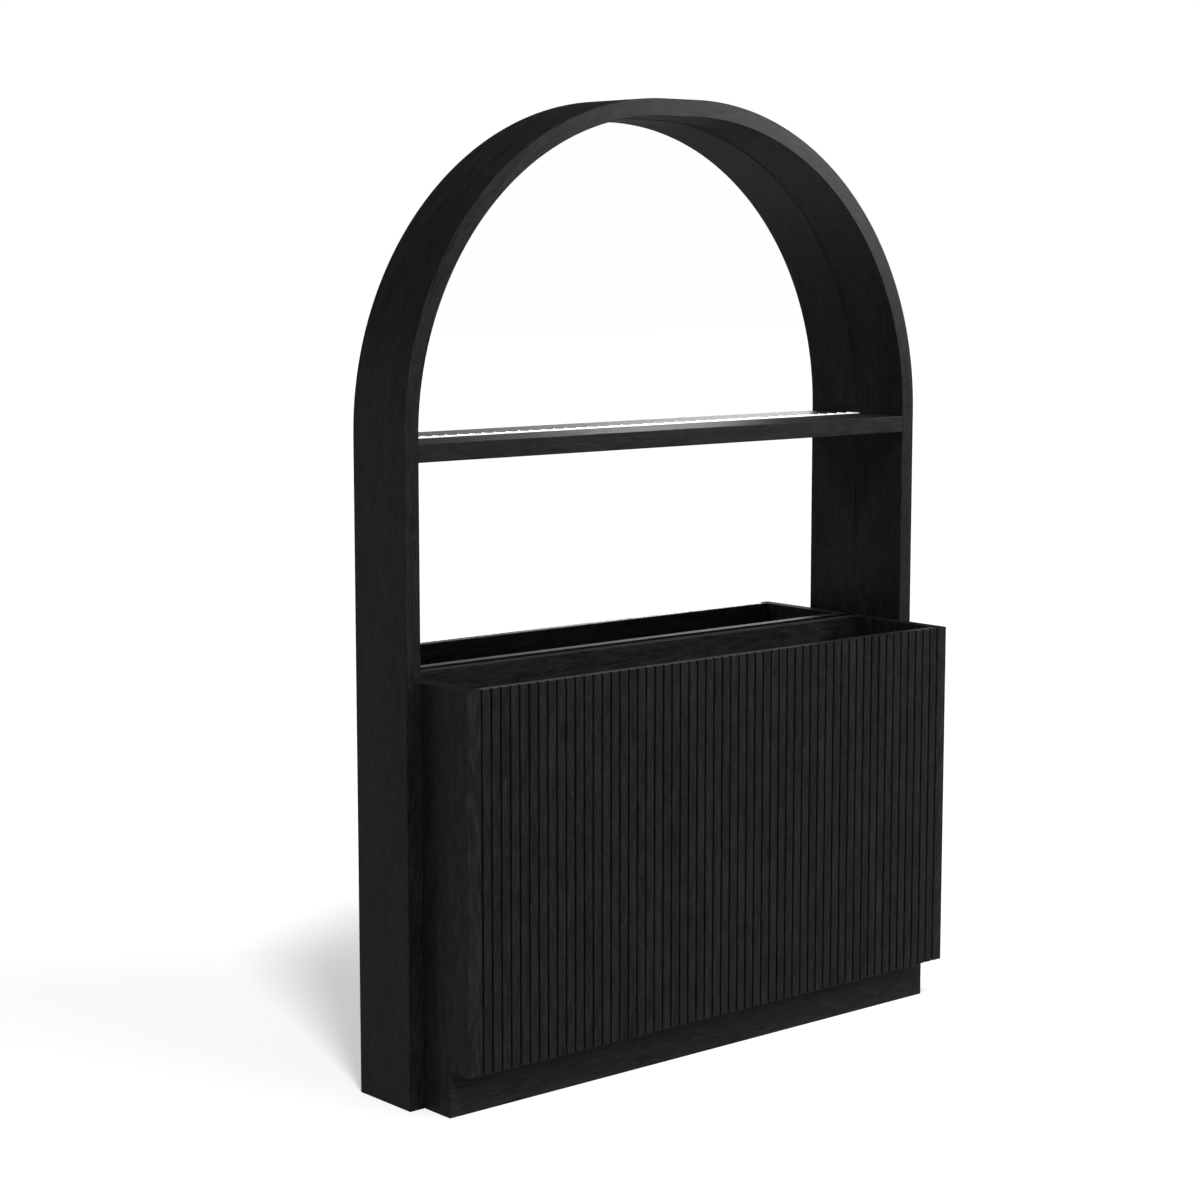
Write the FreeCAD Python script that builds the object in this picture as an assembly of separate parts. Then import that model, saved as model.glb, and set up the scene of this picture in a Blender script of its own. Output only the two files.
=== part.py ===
"""Arched back bar: a mirrored arch frame with one lit shelf over a fluted base cabinet.

Millimetres. +X to the right, +Y to the back, +Z up.
The origin is on the floor, at the middle of the width and of the whole depth.
"""
import FreeCAD, Part
import math
import os

os.makedirs("parts", exist_ok=True)

# Arch frame
FRAME_WIDTH = 1524.0
FRAME_HEIGHT = 2133.6
FRAME_DEPTH = 177.8
FRAME_BOARD = 38.1
CROWN_FLAT = 101.6
EDGE_EASE = 0.8

# Mirror and the board behind it
MIRROR_THICKNESS = 6.35
BACKING_THICKNESS = 19.05
REBATE_WIDTH = 14.0
MIRROR_DROP = 95.0
LEDGE_HEIGHT = 100.0
STRETCHER_HEIGHT = 101.6
WALL_HOLE_SPAN = 1200.0
WALL_HOLE_RISE = 50.0
WALL_HOLE_RADIUS = 3.5

# Display shelf, just under the springing of the arch
SHELF_THICKNESS = 38.1
SHELF_BELOW_SPRINGING = 12.7

# Light line along the shelf's rear edge
LIGHT_CHANNEL_WIDTH = 10.0
LIGHT_CHANNEL_DEPTH = 2.0
LIGHT_CHANNEL_WALL = 1.0
LIGHT_TAPE_THICKNESS = 2.5
LENS_RADIUS = 3.0
LENS_HEIGHT = 1.8
LENS_PITCH = 33.3
LEAD_RADIUS = 1.2
LEAD_BEND = 8.0
LEAD_INSET = 90.0

# Driver, mains inlet and switch, in the space behind the cabinet
DRIVER_WIDTH = 60.0
DRIVER_DEPTH = 35.0
DRIVER_HEIGHT = 150.0
DRIVER_DROP = 60.0
GLAND_RADIUS = 4.0
GLAND_HEIGHT = 14.0
INLET_WIDTH = 28.0
INLET_DEPTH = 24.0
INLET_HEIGHT = 20.0
INLET_WALL = 2.0
SWITCH_POCKET = 5.0
SWITCH_POCKET_MARGIN = 5.0
SWITCH_FLANGE_HEIGHT = 30.0
SWITCH_FLANGE_WIDTH = 15.0
SWITCH_FLANGE_THICKNESS = 2.0
SWITCH_BODY_HEIGHT = 26.0
SWITCH_BODY_WIDTH = 12.0
SWITCH_BODY_DEPTH = 22.0
ROCKER_LENGTH = 21.0
ROCKER_WIDTH = 8.6
ROCKER_REACH = 4.2
ROCKER_DIP = 1.6
ROCKER_ROOT = 4.0
ROCKER_PIVOT_DEPTH = 1.0
ROCKER_TILT = 7.0
ROCKER_TRUNNION_RADIUS = 1.2
ROCKER_TRUNNION_LENGTH = 1.0
SWITCH_LEAD_RADIUS = 2.5

# Base cabinet
BASE_PROJECTION = 152.4
BASE_HEIGHT = 914.4
PLINTH_HEIGHT = 101.6
TOE_RECESS = 63.5
LEFT_SIDE_THICKNESS = 38.1
RIGHT_SIDE_THICKNESS = 28.6
BACK_PANEL_THICKNESS = 25.4
MIRROR_GAP = 12.7
PANEL_THICKNESS = 19.05
TROUGH_DEPTH = 54.0
COUNTER_THICKNESS = 25.4
LIP_THICKNESS = 6.0
BEARER = 20.0
BLOCK = 40.0
BLOCK_HEIGHT = 80.0
CUPBOARD_SHELF_HEIGHT = 480.0
CUPBOARD_SHELF_SETBACK = 25.0
SHELF_PIN_RADIUS = 2.5
SHELF_PIN_REACH = 8.0
SHELF_PIN_INSET = 40.0

# Fluted doors
SLATS_PER_DOOR = (18, 19, 18)
GROOVE = 4.6
SLAT_DEPTH = 7.0
SLAT_CHAMFER = 1.0
DOOR_PANEL_THICKNESS = 11.0
DOOR_BACK_GAP = 1.0

# Butt hinges, with their knuckles in the grooves
HINGE_HEIGHT = 60.0
HINGE_END = 110.0
KNUCKLE_RADIUS = 2.0
KNUCKLE_SETBACK = 2.1
KNUCKLE_LENGTH = 19.7
HINGE_PIN_RADIUS = 1.2
LEAF_THICKNESS = 1.2
LEAF_DEPTH = 14.0
LEAF_ON_DIVIDER = 24.0

# Push latches
LATCH_WIDTH = 14.0
LATCH_HEIGHT = 14.0
LATCH_LENGTH = 64.0
LATCH_SETBACK = 2.0
LATCH_LEVEL = 700.0
PLUNGER_RADIUS = 4.0
PLUNGER_LENGTH = 58.0
STRIKE_SIZE = 18.0
STRIKE_THICKNESS = 1.2

# Dowels, screws and bolts
DOWEL_RADIUS = 5.0
DOWEL_LENGTH = 50.0
DOWEL_EDGE = 45.0
SCREW_RADIUS = 1.75
SCREW_HEAD_RADIUS = 3.6
SCREW_HEAD_HEIGHT = 2.0
SCREW_LENGTH = 34.0
SIDE_SCREWS = 4
ARCH_SCREWS = 4
LIP_SCREWS = 6
BOLT_RADIUS = 4.0
BOLT_HEAD_RADIUS = 8.0
BOLT_HEAD_HEIGHT = 3.0
BOLT_BITE = 24.0
BOLT_INSET = 67.0
BOLT_LOW_LEVEL = 250.0
BOLT_HIGH_LEVEL = 640.0

# Clearances
BASE_FIT = 0.25
MIRROR_FIT = 0.8
BOARD_FIT = 0.5
HOLE_EASE = 0.05
RUNNING_FIT = 0.05
SLIDING_FIT = 0.08
KNUCKLE_GAP = 0.3
LATCH_TIP_GAP = 0.3
SHELF_SIDE_GAP = 1.0
LEAD_CHASE_FIT = 1.3
SWITCH_FIT = 0.2
ROCKER_FIT = 0.5
SAME_PLACE = 1e-4

# Places worked out from the sizes above
half_width = FRAME_WIDTH / 2
inner_half = half_width - FRAME_BOARD
total_depth = FRAME_DEPTH + BASE_PROJECTION
back_y = total_depth / 2
base_front_y = -total_depth / 2
frame_front_y = back_y - FRAME_DEPTH
arch_radius = (FRAME_WIDTH - CROWN_FLAT) / 2
inner_radius = arch_radius - FRAME_BOARD
springing_z = FRAME_HEIGHT - arch_radius
inner_top_z = FRAME_HEIGHT - FRAME_BOARD
backing_face_y = back_y - BACKING_THICKNESS
mirror_face_y = backing_face_y - MIRROR_THICKNESS
mirror_bottom_z = BASE_HEIGHT - MIRROR_DROP
ledge_bottom_z = mirror_bottom_z - LEDGE_HEIGHT

shelf_top_z = springing_z - SHELF_BELOW_SPRINGING
shelf_bottom_z = shelf_top_z - SHELF_THICKNESS

base_half = inner_half - BASE_FIT
cupboard_left_x = -base_half + LEFT_SIDE_THICKNESS
cupboard_right_x = base_half - RIGHT_SIDE_THICKNESS
base_back_y = mirror_face_y - MIRROR_GAP
cupboard_back_y = base_back_y - BACK_PANEL_THICKNESS
slat_back_y = base_front_y + SLAT_DEPTH
door_back_y = slat_back_y + DOOR_PANEL_THICKNESS
carcass_front_y = door_back_y + DOOR_BACK_GAP
lip_back_y = carcass_front_y + LIP_THICKNESS
kick_front_y = base_front_y + TOE_RECESS
kick_back_y = kick_front_y + PANEL_THICKNESS
counter_top_z = BASE_HEIGHT - TROUGH_DEPTH
counter_under_z = counter_top_z - COUNTER_THICKNESS
deck_top_z = PLINTH_HEIGHT + PANEL_THICKNESS

slat_pitch = (cupboard_right_x - cupboard_left_x - GROOVE) / sum(SLATS_PER_DOOR)
slat_width = slat_pitch - GROOVE

X = FreeCAD.Vector(1, 0, 0)
Y = FreeCAD.Vector(0, 1, 0)
Z = FreeCAD.Vector(0, 0, 1)


def save(node, *solids):
    """Write one node, as one solid or as a group of separate solids."""
    shape = solids[0] if len(solids) == 1 else Part.makeCompound(list(solids))
    shape.exportStep("parts/" + node + ".step")


def box(x0, x1, y0, y1, z0, z1):
    """Block between two corners."""
    return Part.makeBox(x1 - x0, y1 - y0, z1 - z0, FreeCAD.Vector(x0, y0, z0))


def rod(radius, x, y, z, direction, length):
    """Round bar from a point along a direction."""
    return Part.makeCylinder(radius, length, FreeCAD.Vector(x, y, z), direction)


def prism_z(points, z0, z1):
    """Outline of (x, y) points, raised from z0 to z1."""
    corners = [FreeCAD.Vector(x, y, z0) for x, y in points]
    outline = Part.makePolygon(corners + corners[:1])
    return Part.Face(outline).extrude(Z * (z1 - z0))


def arch_block(half, top, bottom, radius, y0, y1):
    """Upright slab with a flat crown between two quarter-round shoulders."""
    spring = top - radius
    diagonal = radius * math.sqrt(0.5)

    def at(x, z):
        return FreeCAD.Vector(x, y0, z)

    left_mid = at(-half + radius - diagonal, spring + diagonal)
    right_mid = at(half - radius + diagonal, spring + diagonal)
    edges = [
        Part.LineSegment(at(-half, bottom), at(-half, spring)).toShape(),
        Part.Arc(at(-half, spring), left_mid, at(-half + radius, top)).toShape(),
        Part.LineSegment(at(-half + radius, top), at(half - radius, top)).toShape(),
        Part.Arc(at(half - radius, top), right_mid, at(half, spring)).toShape(),
        Part.LineSegment(at(half, spring), at(half, bottom)).toShape(),
        Part.LineSegment(at(half, bottom), at(-half, bottom)).toShape(),
    ]
    return Part.Face(Part.Wire(edges)).extrude(Y * (y1 - y0))


def eased(shape, belongs):
    """Chamfer the edges whose middle point passes the test."""
    chosen = [edge for edge in shape.Edges if belongs(edge.valueAt(
        (edge.FirstParameter + edge.LastParameter) / 2))]
    return shape.makeChamfer(EDGE_EASE, chosen)


def near(a, b):
    """True where two lengths are the same place."""
    return abs(a - b) < SAME_PLACE


def mirrored(shape):
    """Copy of a shape on the other side of the middle plane."""
    return shape.mirror(FreeCAD.Vector(0, 0, 0), X)


def wood_screw(x, y, z, direction, length):
    """Countersunk screw with its head at the given point and its tip along the direction."""
    place = FreeCAD.Vector(x, y, z)
    head = Part.makeCone(SCREW_HEAD_RADIUS, SCREW_RADIUS, SCREW_HEAD_HEIGHT, place, direction)
    return head.fuse(Part.makeCylinder(SCREW_RADIUS, length, place, direction)).removeSplitter()


def screw_hole(x, y, z, direction, length):
    """Hole that a wood screw sits in."""
    place = FreeCAD.Vector(x, y, z)
    head = Part.makeCone(SCREW_HEAD_RADIUS + HOLE_EASE, SCREW_RADIUS + HOLE_EASE, SCREW_HEAD_HEIGHT,
                         place, direction)
    return head.fuse(Part.makeCylinder(SCREW_RADIUS + HOLE_EASE, length, place, direction))


def dowel_hole(x, y, z, direction, length):
    """Hole that a dowel sits in."""
    return rod(DOWEL_RADIUS + HOLE_EASE, x, y, z, direction, length)


# Dowels of the frame: springing and crown, shelf ends, ledge rail and stretcher ends
dowel_half = DOWEL_LENGTH / 2
board_middle = inner_half + FRAME_BOARD / 2
frame_dowel_ys = (frame_front_y + DOWEL_EDGE, mirror_face_y - DOWEL_EDGE)
rail_middle_y = (mirror_face_y + back_y) / 2
springing_dowels = [(side * board_middle, y, springing_z - dowel_half)
                    for side in (-1, 1) for y in frame_dowel_ys]
crown_dowels = [(-dowel_half, y, FRAME_HEIGHT - FRAME_BOARD / 2) for y in frame_dowel_ys]
shelf_dowels = [(side * inner_half - dowel_half, y, shelf_bottom_z + SHELF_THICKNESS / 2)
                for side in (-1, 1) for y in frame_dowel_ys]
rail_dowels = [(side * inner_half - dowel_half, rail_middle_y, z)
               for side in (-1, 1)
               for z in (ledge_bottom_z + LEDGE_HEIGHT / 4, mirror_bottom_z - LEDGE_HEIGHT / 4,
                         STRETCHER_HEIGHT / 4, STRETCHER_HEIGHT * 3 / 4)]

upright_holes = [dowel_hole(*place, Z, DOWEL_LENGTH) for place in springing_dowels]
arch_holes = upright_holes + [dowel_hole(*place, X, DOWEL_LENGTH) for place in crown_dowels]
shelf_holes = [dowel_hole(*place, X, DOWEL_LENGTH) for place in shelf_dowels]
rail_holes = [dowel_hole(*place, X, DOWEL_LENGTH) for place in rail_dowels]

save("arch_dowels", *[rod(DOWEL_RADIUS, *place, Z, DOWEL_LENGTH) for place in springing_dowels],
     *[rod(DOWEL_RADIUS, *place, X, DOWEL_LENGTH) for place in crown_dowels])
save("shelf_dowels", *[rod(DOWEL_RADIUS, *place, X, DOWEL_LENGTH) for place in shelf_dowels])
save("rail_dowels", *[rod(DOWEL_RADIUS, *place, X, DOWEL_LENGTH) for place in rail_dowels])

# Screws of the backing board, through its edge into the rebate
screw_line = inner_half + REBATE_WIDTH / 2
screw_arc = inner_radius + REBATE_WIDTH / 2
screw_rise = (springing_z - mirror_bottom_z) / SIDE_SCREWS
screw_places = []
for side in (-1, 1):
    for step in range(SIDE_SCREWS):
        screw_places.append((side * screw_line, back_y, mirror_bottom_z + (step + 0.5) * screw_rise))
    for step in range(ARCH_SCREWS):
        turn = math.pi / 2 * (step + 0.5) / ARCH_SCREWS
        screw_x = screw_line - screw_arc + screw_arc * math.cos(turn)
        screw_places.append((side * screw_x, back_y, springing_z + screw_arc * math.sin(turn)))
backing_screw_holes = [screw_hole(*place, -Y, SCREW_LENGTH) for place in screw_places]
save("backing_screws", *[wood_screw(*place, -Y, SCREW_LENGTH) for place in screw_places])

# Switch place, in the right upright, level with the driver behind the cabinet
driver_top_z = ledge_bottom_z - DRIVER_DROP
driver_bottom_z = driver_top_z - DRIVER_HEIGHT
switch_y = (base_back_y + back_y) / 2
switch_z = (driver_top_z + driver_bottom_z) / 2
flange_face_x = half_width - SWITCH_POCKET
flange_back_x = flange_face_x - SWITCH_FLANGE_THICKNESS
switch_back_x = flange_back_x - SWITCH_BODY_DEPTH


def switch_block(x0, x1, width, height):
    """Block centred on the switch, between two depths in the right upright."""
    return box(x0, x1, switch_y - width / 2, switch_y + width / 2,
               switch_z - height / 2, switch_z + height / 2)


pocket_extra = 2 * SWITCH_POCKET_MARGIN
switch_hole = switch_block(flange_back_x, half_width, SWITCH_FLANGE_WIDTH + pocket_extra,
                           SWITCH_FLANGE_HEIGHT + pocket_extra)
switch_hole = switch_hole.fuse(switch_block(switch_back_x, half_width, SWITCH_BODY_WIDTH + 2 * SWITCH_FIT,
                                            SWITCH_BODY_HEIGHT + 2 * SWITCH_FIT))
switch_hole = switch_hole.fuse(rod(SWITCH_LEAD_RADIUS + HOLE_EASE, inner_half, switch_y, switch_z, X,
                                   switch_back_x - inner_half))

# Bolts between the cabinet's sides and the uprights
bolt_y = base_back_y - BOLT_INSET
bolt_levels = (BOLT_LOW_LEVEL, BOLT_HIGH_LEVEL)
bolt_places = [(side, z) for side in (-1, 1) for z in bolt_levels]
side_faces = {-1: cupboard_left_x, 1: cupboard_right_x}
side_boards = {-1: LEFT_SIDE_THICKNESS, 1: RIGHT_SIDE_THICKNESS}


def bolt_shank(side, z, ease):
    """Shank of a connecting bolt, from the cabinet's inner face into the upright."""
    return rod(BOLT_RADIUS + ease, side_faces[side], bolt_y, z, X * side,
               side_boards[side] + BASE_FIT + BOLT_BITE)


bolt_holes = [bolt_shank(side, z, HOLE_EASE) for side, z in bolt_places]
bolts = []
for side, z in bolt_places:
    head = rod(BOLT_HEAD_RADIUS, side_faces[side], bolt_y, z, X * -side, BOLT_HEAD_HEIGHT)
    bolts.append(bolt_shank(side, z, 0.0).fuse(head).removeSplitter())
save("frame_bolts", *bolts)

# Uprights, rebated at the back for the board
upright = box(inner_half, half_width, frame_front_y, back_y, 0, springing_z)
upright = eased(upright, lambda p: near(p.y, frame_front_y) and not near(p.z, 0)
                and not near(p.z, springing_z))
rebate = box(inner_half, inner_half + REBATE_WIDTH, backing_face_y, back_y, mirror_bottom_z, springing_z)
upright = upright.cut(rebate)
frame_cuts = upright_holes + shelf_holes + rail_holes + backing_screw_holes + bolt_holes
save("left_upright", mirrored(upright).cut(frame_cuts))
save("right_upright", upright.cut(frame_cuts + [switch_hole]))

# Arch head, in two halves that meet at the crown
arch = arch_block(half_width, FRAME_HEIGHT, 0, arch_radius, frame_front_y, back_y)
arch = arch.cut(arch_block(inner_half, inner_top_z, 0, inner_radius, frame_front_y, back_y))
arch = eased(arch, lambda p: near(p.y, frame_front_y) and not near(p.z, 0))
arch = arch.cut(arch_block(inner_half + REBATE_WIDTH, inner_top_z + REBATE_WIDTH, 0,
                           inner_radius + REBATE_WIDTH, backing_face_y, back_y))
arch = arch.cut(arch_holes + backing_screw_holes)
left_side = box(-half_width, 0, frame_front_y, back_y, springing_z, FRAME_HEIGHT)
right_side = box(0, half_width, frame_front_y, back_y, springing_z, FRAME_HEIGHT)
save("left_arch_quarter", arch.common(left_side))
save("right_arch_quarter", arch.common(right_side))

# Display shelf between the uprights, with a shallow seat for the light channel
channel_front_y = mirror_face_y - LIGHT_CHANNEL_WIDTH
channel_floor_z = shelf_top_z - LIGHT_CHANNEL_DEPTH
shelf = box(-inner_half, inner_half, frame_front_y, mirror_face_y, shelf_bottom_z, shelf_top_z)
shelf = eased(shelf, lambda p: near(p.y, frame_front_y) and near(p.x, 0))
shelf = shelf.cut(box(-inner_half, inner_half, channel_front_y, mirror_face_y, channel_floor_z, shelf_top_z))
save("display_shelf", shelf.cut(shelf_holes))

# Light channel, tape and lenses
lead_x = inner_half - LEAD_INSET
tape_bottom_z = channel_floor_z + LIGHT_CHANNEL_WALL
tape_top_z = tape_bottom_z + LIGHT_TAPE_THICKNESS
tape_front_y = channel_front_y + LIGHT_CHANNEL_WALL
tape_back_y = mirror_face_y - LIGHT_CHANNEL_WALL
lead_z = (tape_bottom_z + tape_top_z) / 2
lead_room = LEAD_RADIUS + LEAD_CHASE_FIT
channel = box(-inner_half, inner_half, channel_front_y, mirror_face_y, channel_floor_z, shelf_top_z)
channel = channel.cut(box(-inner_half, inner_half, tape_front_y, tape_back_y, tape_bottom_z, shelf_top_z))
channel = channel.cut(box(lead_x - lead_room, lead_x + lead_room, tape_back_y, mirror_face_y,
                          tape_bottom_z, shelf_top_z))
save("light_channel", channel)
save("light_tape", box(-inner_half, inner_half, tape_front_y, tape_back_y, tape_bottom_z, tape_top_z))
lens_count = int(2 * inner_half / LENS_PITCH)
first_lens = -(lens_count - 1) * LENS_PITCH / 2
lens_y = (tape_front_y + tape_back_y) / 2
save("light_lenses", *[rod(LENS_RADIUS, first_lens + step * LENS_PITCH, lens_y, tape_top_z, Z, LENS_HEIGHT)
                       for step in range(lens_count)])

# Lead from the tape, through the mirror, then down a chase in the back
lead_drop_y = backing_face_y + BACKING_THICKNESS / 2
lead_end_z = driver_top_z + GLAND_HEIGHT
bend_corner = LEAD_BEND * (1 - math.sqrt(0.5))
lead_turn_y = lead_drop_y - LEAD_BEND
lead_turn_z = lead_z - LEAD_BEND
lead_path = Part.Wire([
    Part.LineSegment(FreeCAD.Vector(lead_x, tape_back_y, lead_z),
                     FreeCAD.Vector(lead_x, lead_turn_y, lead_z)).toShape(),
    Part.Arc(FreeCAD.Vector(lead_x, lead_turn_y, lead_z),
             FreeCAD.Vector(lead_x, lead_drop_y - bend_corner, lead_z - bend_corner),
             FreeCAD.Vector(lead_x, lead_drop_y, lead_turn_z)).toShape(),
    Part.LineSegment(FreeCAD.Vector(lead_x, lead_drop_y, lead_turn_z),
                     FreeCAD.Vector(lead_x, lead_drop_y, lead_end_z)).toShape(),
])
lead_section = Part.Wire(Part.makeCircle(LEAD_RADIUS, FreeCAD.Vector(lead_x, tape_back_y, lead_z), Y))
save("light_lead", lead_path.makePipeShell([lead_section], True, False))
chase = box(lead_x - lead_room, lead_x + lead_room, lead_drop_y - lead_room, back_y,
            ledge_bottom_z, lead_z + lead_room)
lead_slot = box(lead_x - lead_room, lead_x + lead_room, backing_face_y, back_y,
                lead_turn_z - lead_room, lead_z + lead_room)

# Mirror and backing board, both standing on the ledge rail
mirror = arch_block(inner_half - MIRROR_FIT, inner_top_z - MIRROR_FIT, mirror_bottom_z,
                    inner_radius - MIRROR_FIT, mirror_face_y, backing_face_y)
save("mirror", mirror.cut(rod(lead_room, lead_x, mirror_face_y, lead_z, Y, MIRROR_THICKNESS)))
board_grow = REBATE_WIDTH - BOARD_FIT
backing = arch_block(inner_half + board_grow, inner_top_z + board_grow, mirror_bottom_z,
                     inner_radius + board_grow, backing_face_y, back_y)
save("backing_board", backing.cut(backing_screw_holes + [chase, lead_slot]))

ledge = box(-inner_half, inner_half, mirror_face_y, back_y, ledge_bottom_z, mirror_bottom_z)
wall_hole_z = (ledge_bottom_z + mirror_bottom_z) / 2
wall_holes = [rod(WALL_HOLE_RADIUS, x * WALL_HOLE_SPAN / 2, mirror_face_y,
                  wall_hole_z + z * WALL_HOLE_RISE / 2, Y, back_y - mirror_face_y)
              for x in (-1, 1) for z in (-1, 1)]
save("mirror_ledge_rail", ledge.cut(rail_holes + wall_holes + [chase]))
stretcher = box(-inner_half, inner_half, mirror_face_y, back_y, 0, STRETCHER_HEIGHT)
save("rear_stretcher", stretcher.cut(rail_holes))

# Driver with its gland, on the back of the cabinet, and the inlet under it
driver = box(lead_x - DRIVER_WIDTH / 2, lead_x + DRIVER_WIDTH / 2, base_back_y, base_back_y + DRIVER_DEPTH,
             driver_bottom_z, driver_top_z)
gland = rod(GLAND_RADIUS, lead_x, lead_drop_y, driver_top_z, Z, GLAND_HEIGHT)
save("light_driver", driver.fuse(gland).removeSplitter())
inlet_y = base_back_y + DRIVER_DEPTH / 2
inlet_z = driver_bottom_z - INLET_HEIGHT


def inlet_block(inset, z0, z1):
    """Block of the inlet's plan, set in from its sides."""
    return box(lead_x - INLET_WIDTH / 2 + inset, lead_x + INLET_WIDTH / 2 - inset,
               inlet_y - INLET_DEPTH / 2 + inset, inlet_y + INLET_DEPTH / 2 - inset, z0, z1)


inlet = inlet_block(0.0, inlet_z, driver_bottom_z)
save("mains_inlet", inlet.cut(inlet_block(INLET_WALL, inlet_z, driver_bottom_z - INLET_WALL)))
driver_side_x = lead_x + DRIVER_WIDTH / 2
save("switch_lead", rod(SWITCH_LEAD_RADIUS, driver_side_x, switch_y, switch_z, X,
                        switch_back_x - driver_side_x))

# Switch housing and its rocker
pivot_x = flange_face_x - ROCKER_PIVOT_DEPTH
housing = switch_block(flange_back_x, flange_face_x, SWITCH_FLANGE_WIDTH, SWITCH_FLANGE_HEIGHT)
housing = housing.fuse(switch_block(switch_back_x, flange_back_x, SWITCH_BODY_WIDTH, SWITCH_BODY_HEIGHT))
well_back_x = pivot_x - ROCKER_LENGTH / 2 - ROCKER_FIT
housing = housing.cut(switch_block(well_back_x, flange_face_x, ROCKER_WIDTH + 2 * ROCKER_FIT,
                                   ROCKER_LENGTH + 2 * ROCKER_FIT))
trunnion_span = ROCKER_WIDTH + 2 * (ROCKER_FIT + ROCKER_TRUNNION_LENGTH)
trunnion_bore = rod(ROCKER_TRUNNION_RADIUS + RUNNING_FIT, pivot_x, switch_y - trunnion_span / 2, switch_z, Y,
                    trunnion_span)
save("switch_housing", housing.cut(trunnion_bore).removeSplitter())

rocker_half = ROCKER_LENGTH / 2
rocker_outline = [(-ROCKER_ROOT, -rocker_half), (ROCKER_REACH, -rocker_half),
                  (ROCKER_REACH - ROCKER_DIP, 0), (ROCKER_REACH, rocker_half), (-ROCKER_ROOT, rocker_half)]
rocker_points = [FreeCAD.Vector(pivot_x + x, switch_y - ROCKER_WIDTH / 2, switch_z + z)
                 for x, z in rocker_outline]
rocker = Part.Face(Part.makePolygon(rocker_points + rocker_points[:1])).extrude(Y * ROCKER_WIDTH)
rocker = rocker.common(rod(rocker_half, pivot_x, switch_y - ROCKER_WIDTH / 2, switch_z, Y, ROCKER_WIDTH))
trunnion_reach = ROCKER_WIDTH + 2 * ROCKER_FIT + ROCKER_TRUNNION_LENGTH
rocker = rocker.fuse(rod(ROCKER_TRUNNION_RADIUS, pivot_x, switch_y - trunnion_reach / 2, switch_z, Y,
                         trunnion_reach)).removeSplitter()
rocker.rotate(FreeCAD.Vector(pivot_x, switch_y, switch_z), Y, ROCKER_TILT)
save("switch_rocker", rocker)

# Doors: which slats each one carries, and where its grooves lie


def slat_left(index):
    """Left edge of a slat, counted across the whole front."""
    return cupboard_left_x + GROOVE + index * slat_pitch


class Door:
    """One door: its name, its reach across the front and its hinge."""

    def __init__(self, name, first, count, hinge_side):
        self.name = name
        self.slats = range(first, first + count)
        self.left_x = slat_left(first)
        self.right_x = slat_left(first + count - 1) + slat_width
        self.hinge_side = hinge_side
        edge_x = self.left_x if hinge_side < 0 else self.right_x
        self.hinge_x = edge_x + hinge_side * GROOVE / 2
        free_x = self.right_x if hinge_side < 0 else self.left_x
        self.free_groove_x = free_x - hinge_side * GROOVE / 2


left_door = Door("left", 0, SLATS_PER_DOOR[0], -1)
centre_door = Door("centre", SLATS_PER_DOOR[0], SLATS_PER_DOOR[1], -1)
right_door = Door("right", SLATS_PER_DOOR[0] + SLATS_PER_DOOR[1], SLATS_PER_DOOR[2], 1)
doors = (left_door, centre_door, right_door)
hinge_y = base_front_y + KNUCKLE_SETBACK

# Dividers: the left one carries the centre door's hinges, the right one stops two doors
left_divider_right = centre_door.hinge_x - LEAF_THICKNESS / 2
left_divider_left = left_divider_right - PANEL_THICKNESS
right_divider_left = right_door.free_groove_x - PANEL_THICKNESS / 2
right_divider_right = right_door.free_groove_x + PANEL_THICKNESS / 2

# Cupboard bays, from wall to wall
bays = (
    ("left", cupboard_left_x, left_divider_left),
    ("centre", left_divider_right, right_divider_left),
    ("right", right_divider_right, cupboard_right_x),
)
shelf_front_y = carcass_front_y + CUPBOARD_SHELF_SETBACK
pin_ys = (shelf_front_y + SHELF_PIN_INSET, cupboard_back_y - SHELF_PIN_INSET)
pin_z = CUPBOARD_SHELF_HEIGHT - SHELF_PIN_RADIUS
shelf_pins = []
shelf_pin_holes = []
for name, wall_left, wall_right in bays:
    cupboard_shelf = box(wall_left + SHELF_SIDE_GAP, wall_right - SHELF_SIDE_GAP, shelf_front_y,
                         cupboard_back_y - SHELF_SIDE_GAP, CUPBOARD_SHELF_HEIGHT,
                         CUPBOARD_SHELF_HEIGHT + PANEL_THICKNESS)
    save(name + "_cupboard_shelf", cupboard_shelf)
    for wall_x in (wall_left, wall_right):
        for pin_y in pin_ys:
            start_x = wall_x - SHELF_PIN_REACH
            shelf_pins.append(rod(SHELF_PIN_RADIUS, start_x, pin_y, pin_z, X, 2 * SHELF_PIN_REACH))
            shelf_pin_holes.append(rod(SHELF_PIN_RADIUS + HOLE_EASE, start_x, pin_y, pin_z, X,
                                       2 * SHELF_PIN_REACH))
save("cupboard_shelf_pins", *shelf_pins)

# Base sides with the toe notch, back panel, deck, counter, lip and kickboard


def base_side(left_x, right_x):
    """Side of the base, with its notch over the toe space and its holes."""
    side = box(left_x, right_x, base_front_y, base_back_y, 0, BASE_HEIGHT)
    side = eased(side, lambda p: near(p.y, base_front_y) and near(p.z, BASE_HEIGHT / 2))
    side = side.cut(box(left_x, right_x, base_front_y, kick_back_y, 0, PLINTH_HEIGHT))
    return side.cut(bolt_holes + shelf_pin_holes)


def inside_box(y0, y1, z0, z1):
    """Board from one side of the base to the other."""
    return box(cupboard_left_x, cupboard_right_x, y0, y1, z0, z1)


def corner_strips(width, y0, y1, z0, z1):
    """Two strips of one size, each against one side of the base."""
    return (box(cupboard_left_x, cupboard_left_x + width, y0, y1, z0, z1),
            box(cupboard_right_x - width, cupboard_right_x, y0, y1, z0, z1))


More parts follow.
